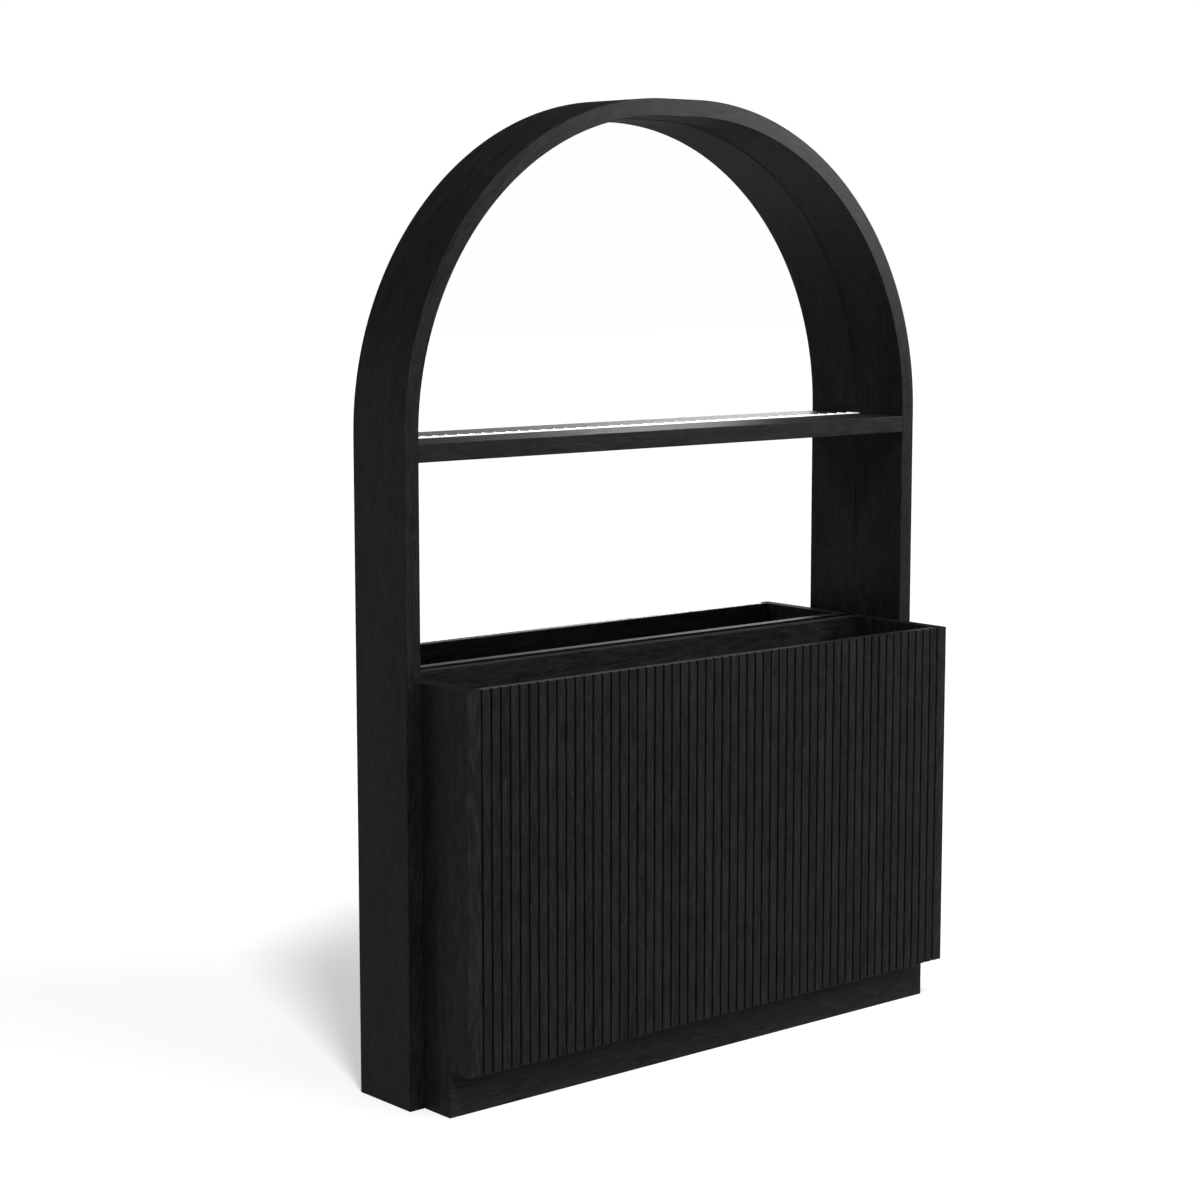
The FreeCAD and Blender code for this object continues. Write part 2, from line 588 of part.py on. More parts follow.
save("base_left_side", base_side(-base_half, cupboard_left_x))
save("base_right_side", base_side(cupboard_right_x, base_half))
save("base_back_panel", inside_box(cupboard_back_y, base_back_y, 0, BASE_HEIGHT))
save("base_deck", inside_box(carcass_front_y, cupboard_back_y, PLINTH_HEIGHT, deck_top_z))
lip_screw_z = (counter_top_z + counter_under_z) / 2
lip_screw_pitch = (cupboard_right_x - cupboard_left_x) / LIP_SCREWS
lip_screw_places = [(cupboard_left_x + (step + 0.5) * lip_screw_pitch, carcass_front_y, lip_screw_z)
                    for step in range(LIP_SCREWS)]
lip_screw_holes = [screw_hole(*place, Y, SCREW_LENGTH) for place in lip_screw_places]
save("lip_screws", *[wood_screw(*place, Y, SCREW_LENGTH) for place in lip_screw_places])
counter = inside_box(lip_back_y, cupboard_back_y, counter_under_z, counter_top_z)
save("counter_board", counter.cut(lip_screw_holes))
lip = inside_box(carcass_front_y, lip_back_y, counter_under_z, BASE_HEIGHT)
save("trough_lip", lip.cut(lip_screw_holes))
save("kickboard", box(-base_half, base_half, kick_front_y, kick_back_y, 0, PLINTH_HEIGHT))
save("kickboard_blocks", *corner_strips(BLOCK, kick_back_y, kick_back_y + BLOCK,
                                        PLINTH_HEIGHT - BLOCK_HEIGHT, PLINTH_HEIGHT))
save("counter_bearers", *corner_strips(BEARER, lip_back_y, cupboard_back_y,
                                       counter_under_z - BEARER, counter_under_z))


def divider(left_x, right_x):
    """Upright panel between deck and counter."""
    return box(left_x, right_x, carcass_front_y, cupboard_back_y, deck_top_z, counter_under_z).cut(
        shelf_pin_holes)


save("left_divider", divider(left_divider_left, left_divider_right))
save("right_divider", divider(right_divider_left, right_divider_right))

# Hinges: two a door, each with a frame leaf of two knuckles, a door leaf of one, and a pin
hinge_centres = (PLINTH_HEIGHT + HINGE_END, BASE_HEIGHT - HINGE_END)
knuckle_slot = HINGE_HEIGHT - 2 * KNUCKLE_LENGTH
door_knuckle_length = knuckle_slot - 2 * KNUCKLE_GAP
knuckle_clear = KNUCKLE_RADIUS + KNUCKLE_GAP


def knuckle_bars(door, centre_z, radius, door_part, grow):
    """Round bars at the frame's two knuckles, or at the door's one."""
    low_z = centre_z - HINGE_HEIGHT / 2
    if door_part:
        spans = [(centre_z - door_knuckle_length / 2, door_knuckle_length)]
    else:
        spans = [(low_z, KNUCKLE_LENGTH), (low_z + HINGE_HEIGHT - KNUCKLE_LENGTH, KNUCKLE_LENGTH)]
    return [rod(radius, door.hinge_x, hinge_y, z - grow, Z, length + 2 * grow) for z, length in spans]


def hinge_leaf(door, centre_z, door_part):
    """Leaf plate with its own knuckles, cleared round the other leaf's knuckles."""
    reach_y = hinge_y + LEAF_DEPTH
    groove_edge = GROOVE / 2
    if door_part:
        near_x = -door.hinge_side * (groove_edge - LEAF_THICKNESS)
        far_x = -door.hinge_side * groove_edge
    elif door is centre_door:
        near_x = -LEAF_THICKNESS / 2
        far_x = LEAF_THICKNESS / 2
        reach_y = carcass_front_y + LEAF_ON_DIVIDER
    else:
        near_x = door.hinge_side * (groove_edge - LEAF_THICKNESS)
        far_x = door.hinge_side * groove_edge
    low_z = centre_z - HINGE_HEIGHT / 2
    plate = box(door.hinge_x + min(near_x, far_x), door.hinge_x + max(near_x, far_x), hinge_y, reach_y,
                low_z, low_z + HINGE_HEIGHT)
    plate = plate.cut(knuckle_bars(door, centre_z, knuckle_clear, not door_part, KNUCKLE_GAP))
    leaf = plate.fuse(knuckle_bars(door, centre_z, KNUCKLE_RADIUS, door_part, 0.0))
    pin_ease = RUNNING_FIT if door_part else HOLE_EASE
    bore = rod(HINGE_PIN_RADIUS + pin_ease, door.hinge_x, hinge_y, low_z, Z, HINGE_HEIGHT)
    return leaf.cut(bore).removeSplitter()


save("hinge_frame_leaves", *[hinge_leaf(door, z, False) for door in doors for z in hinge_centres])
save("hinge_pins", *[rod(HINGE_PIN_RADIUS, door.hinge_x, hinge_y, z - HINGE_HEIGHT / 2, Z, HINGE_HEIGHT)
                     for door in doors for z in hinge_centres])

# Push latches on the dividers, one at each door's free edge
latch_front_y = carcass_front_y + LATCH_SETBACK
latch_faces = {left_door: (left_divider_left, -1), centre_door: (right_divider_left, -1),
               right_door: (right_divider_right, 1)}
plunger_tip_y = door_back_y + LATCH_TIP_GAP
housings = []
for door in doors:
    face_x, outward = latch_faces[door]
    latch_x = face_x + outward * LATCH_WIDTH / 2
    housing = box(latch_x - LATCH_WIDTH / 2, latch_x + LATCH_WIDTH / 2,
                  latch_front_y, latch_front_y + LATCH_LENGTH,
                  LATCH_LEVEL - LATCH_HEIGHT / 2, LATCH_LEVEL + LATCH_HEIGHT / 2)
    bore = rod(PLUNGER_RADIUS + SLIDING_FIT, latch_x, latch_front_y, LATCH_LEVEL, Y,
               plunger_tip_y + PLUNGER_LENGTH + LATCH_TIP_GAP - latch_front_y)
    housings.append(housing.cut(bore))
    save(door.name + "_latch_plunger", rod(PLUNGER_RADIUS, latch_x, plunger_tip_y, LATCH_LEVEL, Y,
                                           PLUNGER_LENGTH))

    # The door behind its slats: panel with the strike plate let in, slats, and hinge leaves
    half_strike = STRIKE_SIZE / 2
    strike = box(latch_x - half_strike, latch_x + half_strike, door_back_y - STRIKE_THICKNESS, door_back_y,
                 LATCH_LEVEL - half_strike, LATCH_LEVEL + half_strike)
    panel = box(door.left_x, door.right_x, slat_back_y, door_back_y, PLINTH_HEIGHT, BASE_HEIGHT)
    save(door.name + "_door_panel", panel.cut(strike))
    save(door.name + "_strike_plate", strike)
    slats = []
    for index in door.slats:
        left_x = slat_left(index)
        right_x = left_x + slat_width
        slats.append(prism_z([(left_x, slat_back_y), (left_x, base_front_y + SLAT_CHAMFER),
                              (left_x + SLAT_CHAMFER, base_front_y), (right_x - SLAT_CHAMFER, base_front_y),
                              (right_x, base_front_y + SLAT_CHAMFER), (right_x, slat_back_y)],
                             PLINTH_HEIGHT, BASE_HEIGHT))
    save(door.name + "_door_slats", *slats)
    save(door.name + "_hinge_leaves", *[hinge_leaf(door, z, True) for z in hinge_centres])
save("latch_housings", *housings)
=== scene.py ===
"""Looks of the arched back bar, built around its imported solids. Metres, in the part's own frame."""
import math

import bmesh
import bpy
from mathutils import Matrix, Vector


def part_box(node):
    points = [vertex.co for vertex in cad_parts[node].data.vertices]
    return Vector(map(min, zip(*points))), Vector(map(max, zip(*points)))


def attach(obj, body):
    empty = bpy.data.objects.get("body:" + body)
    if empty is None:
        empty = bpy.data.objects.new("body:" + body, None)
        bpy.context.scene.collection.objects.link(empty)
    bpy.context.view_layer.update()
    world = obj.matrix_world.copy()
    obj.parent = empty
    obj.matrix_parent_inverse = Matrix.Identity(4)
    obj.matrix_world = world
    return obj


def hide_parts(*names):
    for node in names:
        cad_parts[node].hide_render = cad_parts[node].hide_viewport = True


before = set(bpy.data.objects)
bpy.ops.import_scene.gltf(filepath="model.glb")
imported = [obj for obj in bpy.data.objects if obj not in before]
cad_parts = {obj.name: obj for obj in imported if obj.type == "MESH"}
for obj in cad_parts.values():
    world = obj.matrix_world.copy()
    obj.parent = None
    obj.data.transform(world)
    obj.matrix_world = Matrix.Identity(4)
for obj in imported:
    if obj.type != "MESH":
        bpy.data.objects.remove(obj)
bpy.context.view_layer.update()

scene = bpy.context.scene

# Sizes of the frame that the grain follows
ARCH_RADIUS = 0.7112
CROWN_HALF = 0.0508
SPRINGING = 1.4224

# Fluted front
SLAT_EDGE = 0.0010
SLAT_EDGE_STEPS = 3
SLAT_END_EASE = 0.0006
SLAT_SEED = 11
SLATS = {"left": 18, "centre": 19, "right": 18}

# Light line
LENS_RADIUS = 0.003
LENS_HEIGHT = 0.0018
LENS_PITCH = 0.0333
LENS_COUNT = 43
LENS_SEGMENTS = 12
LENS_RINGS = 8

# Eased edges of boards and small parts: EASE is a width, EDGE the shortest edge that is eased
FLAT_ANGLE = math.radians(0.5)
SHARP_ANGLE = math.radians(40.0)
SMOOTH_ANGLE = math.radians(8.0)
END_FACING = 0.9
MERGE_REACH = 1e-6
SLIVER_REACH = 1e-5
FLUSH_REACH = 1e-4
EASE_STEPS = 2
BOARD_EASE = 0.0008
BOARD_EDGE = 0.008
CASE_EASE = 0.003
CASE_EDGE = 0.012
SHELL_EASE = 0.0006
ROCKER_EASE = 0.0005
SHELL_EDGE = 0.004
LATCH_EASE = 0.001
PLUNGER_EASE = 0.0008
PLUNGER_EDGE = 0.0004

# Fasteners
SCREW_HEAD = 0.0036
SCREW_HEAD_DEPTH = 0.002
SCREW_SHANK = 0.00175
SCREW_LENGTH = 0.034
SCREW_TIP = 0.006
SCREW_SIDES = 20
CROSS_SPAN = 0.0042
CROSS_WIDTH = 0.0010
CROSS_DEPTH = 0.0014
SCREW_SEED = 5
HINGE_SCREW_SHARE = 0.65
HINGE_SCREW_LENGTH = 0.013
HINGE_SCREW_INSET = 0.0045
HINGE_SCREW_SPACING = 0.040
HINGE_HEAD_PROUD = 0.0003
BOLT_HEAD = 0.008
BOLT_HEAD_DEPTH = 0.003
BOLT_CHAMFER = 0.0007
BOLT_SHANK = 0.004
BOLT_SOCKET = 0.0029
BOLT_SOCKET_DEPTH = 0.0022
BOLT_SIDES = 32
HEAD_STEP = 1e-5
POINT = 0.0002

# Driver and inlet
RIB_COUNT = 14
RIB_PITCH = 0.0075
RIB_RADIUS = 0.0013
RIB_MARGIN = 0.008
DRIVER_CASE_HEIGHT = 0.150
PIN_RADIUS = 0.0012
PIN_LENGTH = 0.012
PIN_SPACING = 0.0086
INLET_ROOF = 0.002
ROD_SIDES = 16
DOME_SHARES = (0.3, 0.6, 0.85)

# Layers of the wood's grain: waves per metre on each axis, octaves and roughness
GRAIN_CLOUD = ((9.0, 9.0, 1.6), 3.0, 0.55)
GRAIN_STREAK = ((70.0, 70.0, 2.4), 5.0, 0.62)
GRAIN_FIBRE = ((420.0, 420.0, 9.0), 4.0, 0.6)
GRAIN_WANDER = ((5.0, 5.0, 1.1), 2.0, 0.5)
GRAIN_PATCH = ((55.0, 55.0, 17.0), 3.0, 0.6)
GRAIN_FLECK = ((300.0, 300.0, 38.0), 3.0, 0.6)
GRAIN_PORE = ((1300.0, 1300.0, 42.0), 2.0, 0.5)
FLECK_BAND = (0.50, 0.74)
PORE_BAND = (0.55, 0.66)
BOARD_STEPS = (3.1, 1.7, 7.3)
HALVES_APART = 0.7

# Growth rings about hearts that lie under the boards
HEART_PITCH = 0.09
HEART_ASIDE = 0.035
HEART_WANDER = 0.03
HEART_DEPTH = 0.11
HEART_RISE = 0.02
HEART_SLOPE = 0.07
DEPTH_WANDER = 0.05
RING_WAVER = 0.004
RING_TURNS = 900.0
RING_SHARPNESS = 2.2
LATE_WOOD = 0.6
LATE_WOOD_PORES = 0.25

# What the grain does to the stain: tone of streak, fibre, cloud and patch, and of fleck, ring and pore
TONE_BASE = 0.30
LAYER_TONES = (0.9, 0.8, 0.6, 1.3)
MARK_TONES = (0.9, 0.8, -0.35)
TONE_RANGE = (-0.2, 1.3)
LIGHT_TINT = (1.0, 0.992, 0.982)
WOOD_GLOSS = 0.03
WOOD_ROUGH = 0.23
GRAIN_ROUGH = 0.06
WOOD_RELIEF = 0.00025
PORE_SINK = -0.8
RING_STAND = 0.25
MATT_VIEW = (0.38, 0.80)
END_GRAIN = (0.8, 0.95)
END_SHADE = 0.7
GRAIN_TURNS = {"X": (0.0, math.pi / 2, 0.0), "Z": (0.0, 0.0, 0.0)}

# Edges where the stain is rubbed thin, lightened also as a painted edge highlight
EDGE_MARK_REACH = 0.0012
EDGE_MARK_TURN = (0.02, 0.22)
EDGE_MARK_PATCHES = (38.0, 3.0, 0.6)
EDGE_MARK_BAND = (0.35, 0.65)
EDGE_MARK_LEAST = 0.25
RUB_AND_HIGHLIGHT_SHARE = 0.35
RUBBED_WOOD_AND_HIGHLIGHT = (0.055, 0.052, 0.048, 1.0)
JOINT_CLEAR = (0.003, 0.006)
BEVEL_SAMPLES = 4

# Noise of the other finishes: waves per metre, octaves and roughness
SPECKLE_FINE = (2.0, 0.5)
SPECKLE_CLOUD = (14.0, 4.0, 0.6)
DRAWN_LINE = ((30.0, 2600.0, 2600.0), 3.0, 0.6)
DRAWN_STAIN = (160.0, 4.0, 0.65)
BEECH_STREAK = ((8.0, 220.0, 220.0), 4.0, 0.6)
BEECH_FLECK = ((160.0, 900.0, 900.0), 2.0, 0.5)
MIRROR_HAZE = (5.0, 5.0, 0.6)
LENS_HAZE = (120.0, 2.0, 0.5)
PLASTIC_GRAIN = 900.0
PAINT_GRAIN = 420.0

# Tone, roughness, gloss and relief of those finishes
PAINT_SPECKLE = 0.35
PAINT_BAND = (0.35, 0.95)
PAINT_ROUGH = (0.2, 0.55)
PAINT_GLOSS = 0.2
PAINT_RELIEF = (0.0002, 0.3)
BEECH_FLECK_BAND = (0.55, 0.7)
BEECH_FLECK_TONE = -0.3
BEECH_BAND = (0.2, 0.75)
BEECH_ROUGH = (0.2, 0.5)
BEECH_RELIEF = (0.0002, 0.25)
MIRROR_BAND = (0.35, 0.75)
MIRROR_ROUGH_RANGE = (0.002, 0.010)
DRAWN_ROUGH = 0.2
DRAWN_RELIEF = (0.00005, 0.2)
PLASTIC_ROUGH = 0.15
PLASTIC_GLOSS = 0.5
PLASTIC_RELIEF = (0.0001, 0.25)
SOFT_EDGE = 0.0005
LENS_BEAT = 0.9
LENS_CLOUD = 0.12
LENS_ROUGH = (0.15, 0.25)
LENS_DULL_TINT = (0.9, 0.89, 0.85)
LENS_TINT = (1.0, 0.99, 0.96)

# Floor, surroundings and camera
FLOOR_REACH = 40.0
FLOOR_LIT = 0.55
FLOOR_OWN = 0.5
FLOOR_BOUNCE = 0.5
AMBIENT = 0.18
DIMMING_HEIGHT = (0.10, 0.35)
DIMMED = 0.2
CAMERA_PLACE = (-3.9756, -4.3747, 1.8066)
CAMERA_PAN = 0.7090
CAMERA_TILT = 0.1316
CAMERA_LENS = 79.444
CAMERA_SENSOR = 36.0
CAMERA_REACH = 200.0

FLOAT = "NodeSocketFloat"
COUNT = "NodeSocketInt"
VECTOR = "NodeSocketVector"
COLOUR = "NodeSocketColor"
MATERIAL = "NodeSocketMaterial"
GEOMETRY = "NodeSocketGeometry"
WHITE = (1.0, 1.0, 1.0, 1.0)


# Node work that every tree shares


def tinted(level, tint=(1.0, 1.0, 1.0)):
    """Grey of a level, or a tint of it."""
    return (*(level * share for share in tint), 1.0)


class Sheet:
    """Adds nodes to one tree and joins them."""

    def __init__(self, tree):
        self.tree = tree

    def add(self, kind, feeds=None, **settings):
        """New node with its settings made and its inputs fed."""
        node = self.tree.nodes.new(kind)
        for key, value in settings.items():
            setattr(node, key, value)
        self.fill(node, feeds or {})
        return node

    def fill(self, node, feeds):
        """Feed a node's inputs by their names or numbers."""
        for key, value in feeds.items():
            self.feed(node.inputs[key], value)

    def feed(self, socket, value):
        """Join a socket, or set a plain value."""
        if isinstance(value, bpy.types.NodeSocket):
            self.tree.links.new(value, socket)
        else:
            socket.default_value = value

    def sum(self, operation, *values):
        """Result of one arithmetic node."""
        return self.add("ShaderNodeMath", dict(enumerate(values)), operation=operation).outputs[0]

    def scaled(self, value, factor, rest):
        """Value times a factor, added to the rest."""
        return self.sum("MULTIPLY_ADD", value, factor, rest)

    def spread(self, value, low, high, to_low=0.0, to_high=1.0):
        """Value moved from one range to another, and held there."""
        node = self.add("ShaderNodeMapRange", {"Value": value, "From Min": low, "From Max": high,
                                               "To Min": to_low, "To Max": to_high})
        return node.outputs["Result"]

    def noise(self, vector, waves, octaves, roughness):
        """Noise value between 0 and 1."""
        node = self.add("ShaderNodeTexNoise", {"Vector": vector, "Scale": waves, "Detail": octaves,
                                               "Roughness": roughness})
        return node.outputs["Fac"]

    def streaks(self, vector, waves, octaves, roughness):
        """Noise with its own waves along each axis."""
        stretched = self.add("ShaderNodeMapping", {"Vector": vector, "Scale": waves})
        return self.noise(stretched.outputs["Vector"], 1.0, octaves, roughness)

    def mixed(self, factor, a, b):
        """Mixture of two colours."""
        return self.add("ShaderNodeMix", {"Factor": factor, 6: a, 7: b}, data_type="RGBA").outputs[2]

    def vectors(self, operation, a, b):
        """Results of one node of vector arithmetic."""
        return self.add("ShaderNodeVectorMath", {0: a, 1: b}, operation=operation).outputs

    def split(self, vector):
        """Three parts of a vector."""
        return self.add("ShaderNodeSeparateXYZ", {"Vector": vector}).outputs

    def joined(self, x, y, z):
        """Vector from its three parts."""
        return self.add("ShaderNodeCombineXYZ", {"X": x, "Y": y, "Z": z}).outputs[0]

    def group(self, tree, feeds):
        """Results of a shared group placed here."""
        return self.add("ShaderNodeGroup", feeds, node_tree=tree).outputs


def shader_group(name, inputs, outputs):
    """Empty shader group with named sockets."""
    tree = bpy.data.node_groups.new(name, "ShaderNodeTree")
    for label, kind, value in inputs:
        socket = tree.interface.new_socket(label, in_out="INPUT", socket_type=kind)
        if value is not None:
            socket.default_value = value
    for label, kind in outputs:
        tree.interface.new_socket(label, in_out="OUTPUT", socket_type=kind)
    sheet = Sheet(tree)
    return sheet, sheet.add("NodeGroupInput").outputs, sheet.add("NodeGroupOutput").inputs


def stained_grain_group():
    """Open-grained wood under black stain: fibres, rings and pores, with the grain along the vector's Z."""
    sheet, given, result = shader_group(
        "stained_grain",
        [("Vector", VECTOR, None), ("Board", FLOAT, 0.0), ("Dark", COLOUR, tinted(0.008)),
         ("Light", COLOUR, (0.024, 0.023, 0.022, 1.0)), ("Figure", FLOAT, 0.5)],
        [("Color", COLOUR), ("Roughness", FLOAT), ("Height", FLOAT)])
    shift = sheet.joined(*(sheet.sum("MULTIPLY", given["Board"], step) for step in BOARD_STEPS))
    place = sheet.vectors("ADD", given["Vector"], shift)["Vector"]
    cloud, streak, fibre, wander, patch, fleck, pore = (sheet.streaks(place, *layer) for layer in (
        GRAIN_CLOUD, GRAIN_STREAK, GRAIN_FIBRE, GRAIN_WANDER, GRAIN_PATCH, GRAIN_FLECK, GRAIN_PORE))
    fleck = sheet.spread(fleck, *FLECK_BAND)
    pore = sheet.spread(pore, *PORE_BAND)
    x, y, z = sheet.split(place)
    aside = sheet.sum("PINGPONG", sheet.scaled(wander, HEART_WANDER, x), HEART_PITCH)
    aside = sheet.sum("SUBTRACT", aside, HEART_ASIDE)
    below = sheet.scaled(wander, DEPTH_WANDER, sheet.scaled(z, HEART_SLOPE, y))
    below = sheet.sum("SUBTRACT", sheet.sum("PINGPONG", below, HEART_DEPTH), HEART_RISE)
    squares = sheet.scaled(below, below, sheet.sum("MULTIPLY", aside, aside))
    year = sheet.scaled(streak, RING_WAVER, sheet.sum("SQRT", squares))
    ring = sheet.sum("SINE", sheet.sum("MULTIPLY", year, RING_TURNS))
    ring = sheet.sum("POWER", sheet.scaled(ring, 0.5, 0.5), RING_SHARPNESS)
    pore = sheet.sum("MULTIPLY", pore, sheet.spread(ring, 0.0, LATE_WOOD, 1.0, LATE_WOOD_PORES))
    figure = sheet.sum("MULTIPLY", ring, given["Figure"])
    tone = TONE_BASE
    for layer, share in zip((streak, fibre, cloud, patch), LAYER_TONES):
        tone = sheet.scaled(sheet.sum("SUBTRACT", layer, 0.5), share, tone)
    for mark, share in zip((fleck, figure, pore), MARK_TONES):
        tone = sheet.scaled(mark, share, tone)
    tone = sheet.spread(tone, *TONE_RANGE)
    sheet.feed(result["Color"], sheet.mixed(tone, given["Dark"], given["Light"]))
    rough = sheet.scaled(fibre, GRAIN_ROUGH, WOOD_ROUGH)
    sheet.feed(result["Roughness"], sheet.scaled(streak, GRAIN_ROUGH, rough))
    height = sheet.scaled(pore, PORE_SINK, fibre)
    sheet.feed(result["Height"], sheet.scaled(figure, RING_STAND, height))
    return sheet.tree


def arch_run_group():
    """Place on the arch frame as (depth into the board, Y, length along the frame)."""
    sheet, given, result = shader_group("arch_run", [("Vector", VECTOR, None)], [("Vector", VECTOR)])
    x, y, z = sheet.split(given["Vector"])
    reach = sheet.sum("ABSOLUTE", x)
    out = sheet.sum("MAXIMUM", sheet.sum("SUBTRACT", reach, CROWN_HALF), 0.0)
    rise = sheet.sum("SUBTRACT", z, SPRINGING)
    lean = sheet.sum("MAXIMUM", rise, 0.0)
    squares = sheet.scaled(lean, lean, sheet.sum("MULTIPLY", out, out))
    depth = sheet.sum("SUBTRACT", ARCH_RADIUS, sheet.sum("SQRT", squares))
    turn = sheet.sum("ARCTAN2", lean, out)
    along = sheet.scaled(turn, ARCH_RADIUS, sheet.sum("MINIMUM", rise, 0.0))
    flat = sheet.sum("MAXIMUM", sheet.sum("SUBTRACT", CROWN_HALF, reach), 0.0)
    along = sheet.sum("ADD", along, flat)
    side = sheet.scaled(sheet.sum("SIGN", x), HALVES_APART, depth)
    sheet.feed(result["Vector"], sheet.joined(side, y, along))
    return sheet.tree


def worn_and_highlit_edge_group():
    """Mask of the edges, where the stain is rubbed thin and an edge highlight is painted."""
    sheet, given, result = shader_group(
        "worn_and_highlit_edge", [("Vector", VECTOR, None), ("Reach", FLOAT, EDGE_MARK_REACH)], [("Mask", FLOAT)])
    rounded = sheet.add("ShaderNodeBevel", {"Radius": given["Reach"]}, samples=BEVEL_SAMPLES).outputs[0]
    true = sheet.add("ShaderNodeNewGeometry").outputs["True Normal"]
    turn = sheet.sum("SUBTRACT", 1.0, sheet.vectors("DOT_PRODUCT", rounded, true)["Value"])
    patch = sheet.noise(given["Vector"], *EDGE_MARK_PATCHES)
    mask = sheet.sum("MULTIPLY", sheet.spread(turn, *EDGE_MARK_TURN),
                     sheet.spread(patch, *EDGE_MARK_BAND, EDGE_MARK_LEAST, 1.0))
    sheet.feed(result["Mask"], mask)
    return sheet.tree


def moulded_speckle_group():
    """Fine moulded or sprayed texture."""
    sheet, given, result = shader_group(
        "moulded_speckle", [("Vector", VECTOR, None), ("Scale", FLOAT, PLASTIC_GRAIN)],
        [("Mask", FLOAT), ("Cloud", FLOAT)])
    sheet.feed(result["Mask"], sheet.noise(given["Vector"], given["Scale"], *SPECKLE_FINE))
    sheet.feed(result["Cloud"], sheet.noise(given["Vector"], *SPECKLE_CLOUD))
    return sheet.tree


def drawn_metal_group():
    """Fine lines that drawing or brushing leaves along a metal's X."""
    sheet, given, result = shader_group("drawn_metal", [("Vector", VECTOR, None)],
                                        [("Line", FLOAT), ("Stain", FLOAT)])
    sheet.feed(result["Line"], sheet.streaks(given["Vector"], *DRAWN_LINE))
    sheet.feed(result["Stain"], sheet.noise(given["Vector"], *DRAWN_STAIN))
    return sheet.tree


STAINED_GRAIN = stained_grain_group()
ARCH_RUN = arch_run_group()
WORN_AND_HIGHLIT_EDGE = worn_and_highlit_edge_group()
MOULDED_SPECKLE = moulded_speckle_group()
DRAWN_METAL = drawn_metal_group()


def new_finish(name):
    """Material with its sheet, its shader and its object coordinates."""
    material = bpy.data.materials.new(name)
    material.use_nodes = True
    sheet = Sheet(material.node_tree)
    shader = material.node_tree.nodes["Principled BSDF"]
    place = sheet.add("ShaderNodeTexCoord").outputs["Object"]
    return material, sheet, shader, place


def raise_surface(sheet, shader, height, distance, strength, normal=None):
    """Bump from a height, on the shader's normal."""
    bump = sheet.add("ShaderNodeBump", {"Height": height, "Distance": distance, "Strength": strength})
    if normal is not None:
        sheet.feed(bump.inputs["Normal"], normal)
    sheet.feed(shader.inputs["Normal"], bump.outputs[0])


def stained_wood(name, along, shift=None, dark=0.0032, light=0.0194, figure=0.3, board=None, matt=0.45,
                 end_stain=0.6, relief=0.35):
    """Black-stained board with its grain along one axis or along the arch, or counted board by board."""
    material, sheet, shader, place = new_finish(name)
    arched = along == "arch"
    if arched:
        run = sheet.group(ARCH_RUN, {"Vector": place})["Vector"]
    else:
        run = sheet.add("ShaderNodeMapping", {
            "Vector": place, "Rotation": GRAIN_TURNS[along], "Location": shift}).outputs["Vector"]
    feeds = {"Vector": run, "Dark": tinted(dark), "Light": tinted(light, LIGHT_TINT), "Figure": figure}
    if board is not None:
        feeds["Board"] = sheet.add("ShaderNodeAttribute", attribute_name=board).outputs["Fac"]
    grain = sheet.group(STAINED_GRAIN, feeds)
    reach = EDGE_MARK_REACH
    if arched:
        x, _, z = sheet.split(place)
        off_joint = sheet.sum("ABSOLUTE", sheet.sum("SUBTRACT", z, SPRINGING))
        off_joint = sheet.sum("MINIMUM", off_joint, sheet.sum("ABSOLUTE", x))
        reach = sheet.sum("MULTIPLY", sheet.spread(off_joint, *JOINT_CLEAR), EDGE_MARK_REACH)
    # Edges lightened: partly rubbed-thin stain, partly a painted edge highlight
    edge = sheet.group(WORN_AND_HIGHLIT_EDGE, {"Vector": place, "Reach": reach})["Mask"]
    colour = sheet.mixed(sheet.sum("MULTIPLY", edge, RUB_AND_HIGHLIGHT_SHARE), grain["Color"], RUBBED_WOOD_AND_HIGHLIGHT)
    if not arched:
        normal = sheet.add("ShaderNodeNewGeometry").outputs["True Normal"]
        facing_end = sheet.sum("ABSOLUTE", sheet.split(normal)[along])
        end_grain = sheet.spread(facing_end, *END_GRAIN, 0.0, end_stain)
        colour = sheet.mixed(end_grain, colour, tinted(dark * END_SHADE))
    facing = sheet.add("ShaderNodeLayerWeight", {"Blend": 0.5}).outputs["Facing"]
    dulled = sheet.spread(facing, *MATT_VIEW, 0.0, matt)
    sheet.fill(shader, {"Base Color": colour, "Roughness": sheet.sum("ADD", grain["Roughness"], dulled),
                        "Specular IOR Level": WOOD_GLOSS})
    raise_surface(sheet, shader, grain["Height"], WOOD_RELIEF, relief)
    return material


def painted_board(name):
    """Board under matt black paint, with its roller texture."""
    material, sheet, shader, place = new_finish(name)
    speckle = sheet.group(MOULDED_SPECKLE, {"Vector": place, "Scale": PAINT_GRAIN})
    tone = sheet.spread(sheet.scaled(speckle["Mask"], PAINT_SPECKLE, speckle["Cloud"]), *PAINT_BAND)
    sheet.fill(shader, {
        "Base Color": sheet.mixed(tone, (0.011, 0.011, 0.0112, 1.0), (0.026, 0.0255, 0.025, 1.0)),
        "Roughness": sheet.scaled(speckle["Cloud"], *PAINT_ROUGH), "Specular IOR Level": PAINT_GLOSS})
    raise_surface(sheet, shader, speckle["Mask"], *PAINT_RELIEF)
    return material


def bare_beech(name):
    """Pale unfinished beech with short flecks."""
    material, sheet, shader, place = new_finish(name)
    streak = sheet.streaks(place, *BEECH_STREAK)
    fleck = sheet.streaks(place, *BEECH_FLECK)
    tone = sheet.scaled(sheet.spread(fleck, *BEECH_FLECK_BAND), BEECH_FLECK_TONE, streak)
    tone = sheet.spread(tone, *BEECH_BAND)
    sheet.fill(shader, {"Base Color": sheet.mixed(tone, (0.36, 0.22, 0.12, 1.0), (0.62, 0.45, 0.28, 1.0)),
                        "Roughness": sheet.scaled(streak, *BEECH_ROUGH)})
    raise_surface(sheet, shader, fleck, *BEECH_RELIEF)
    return material


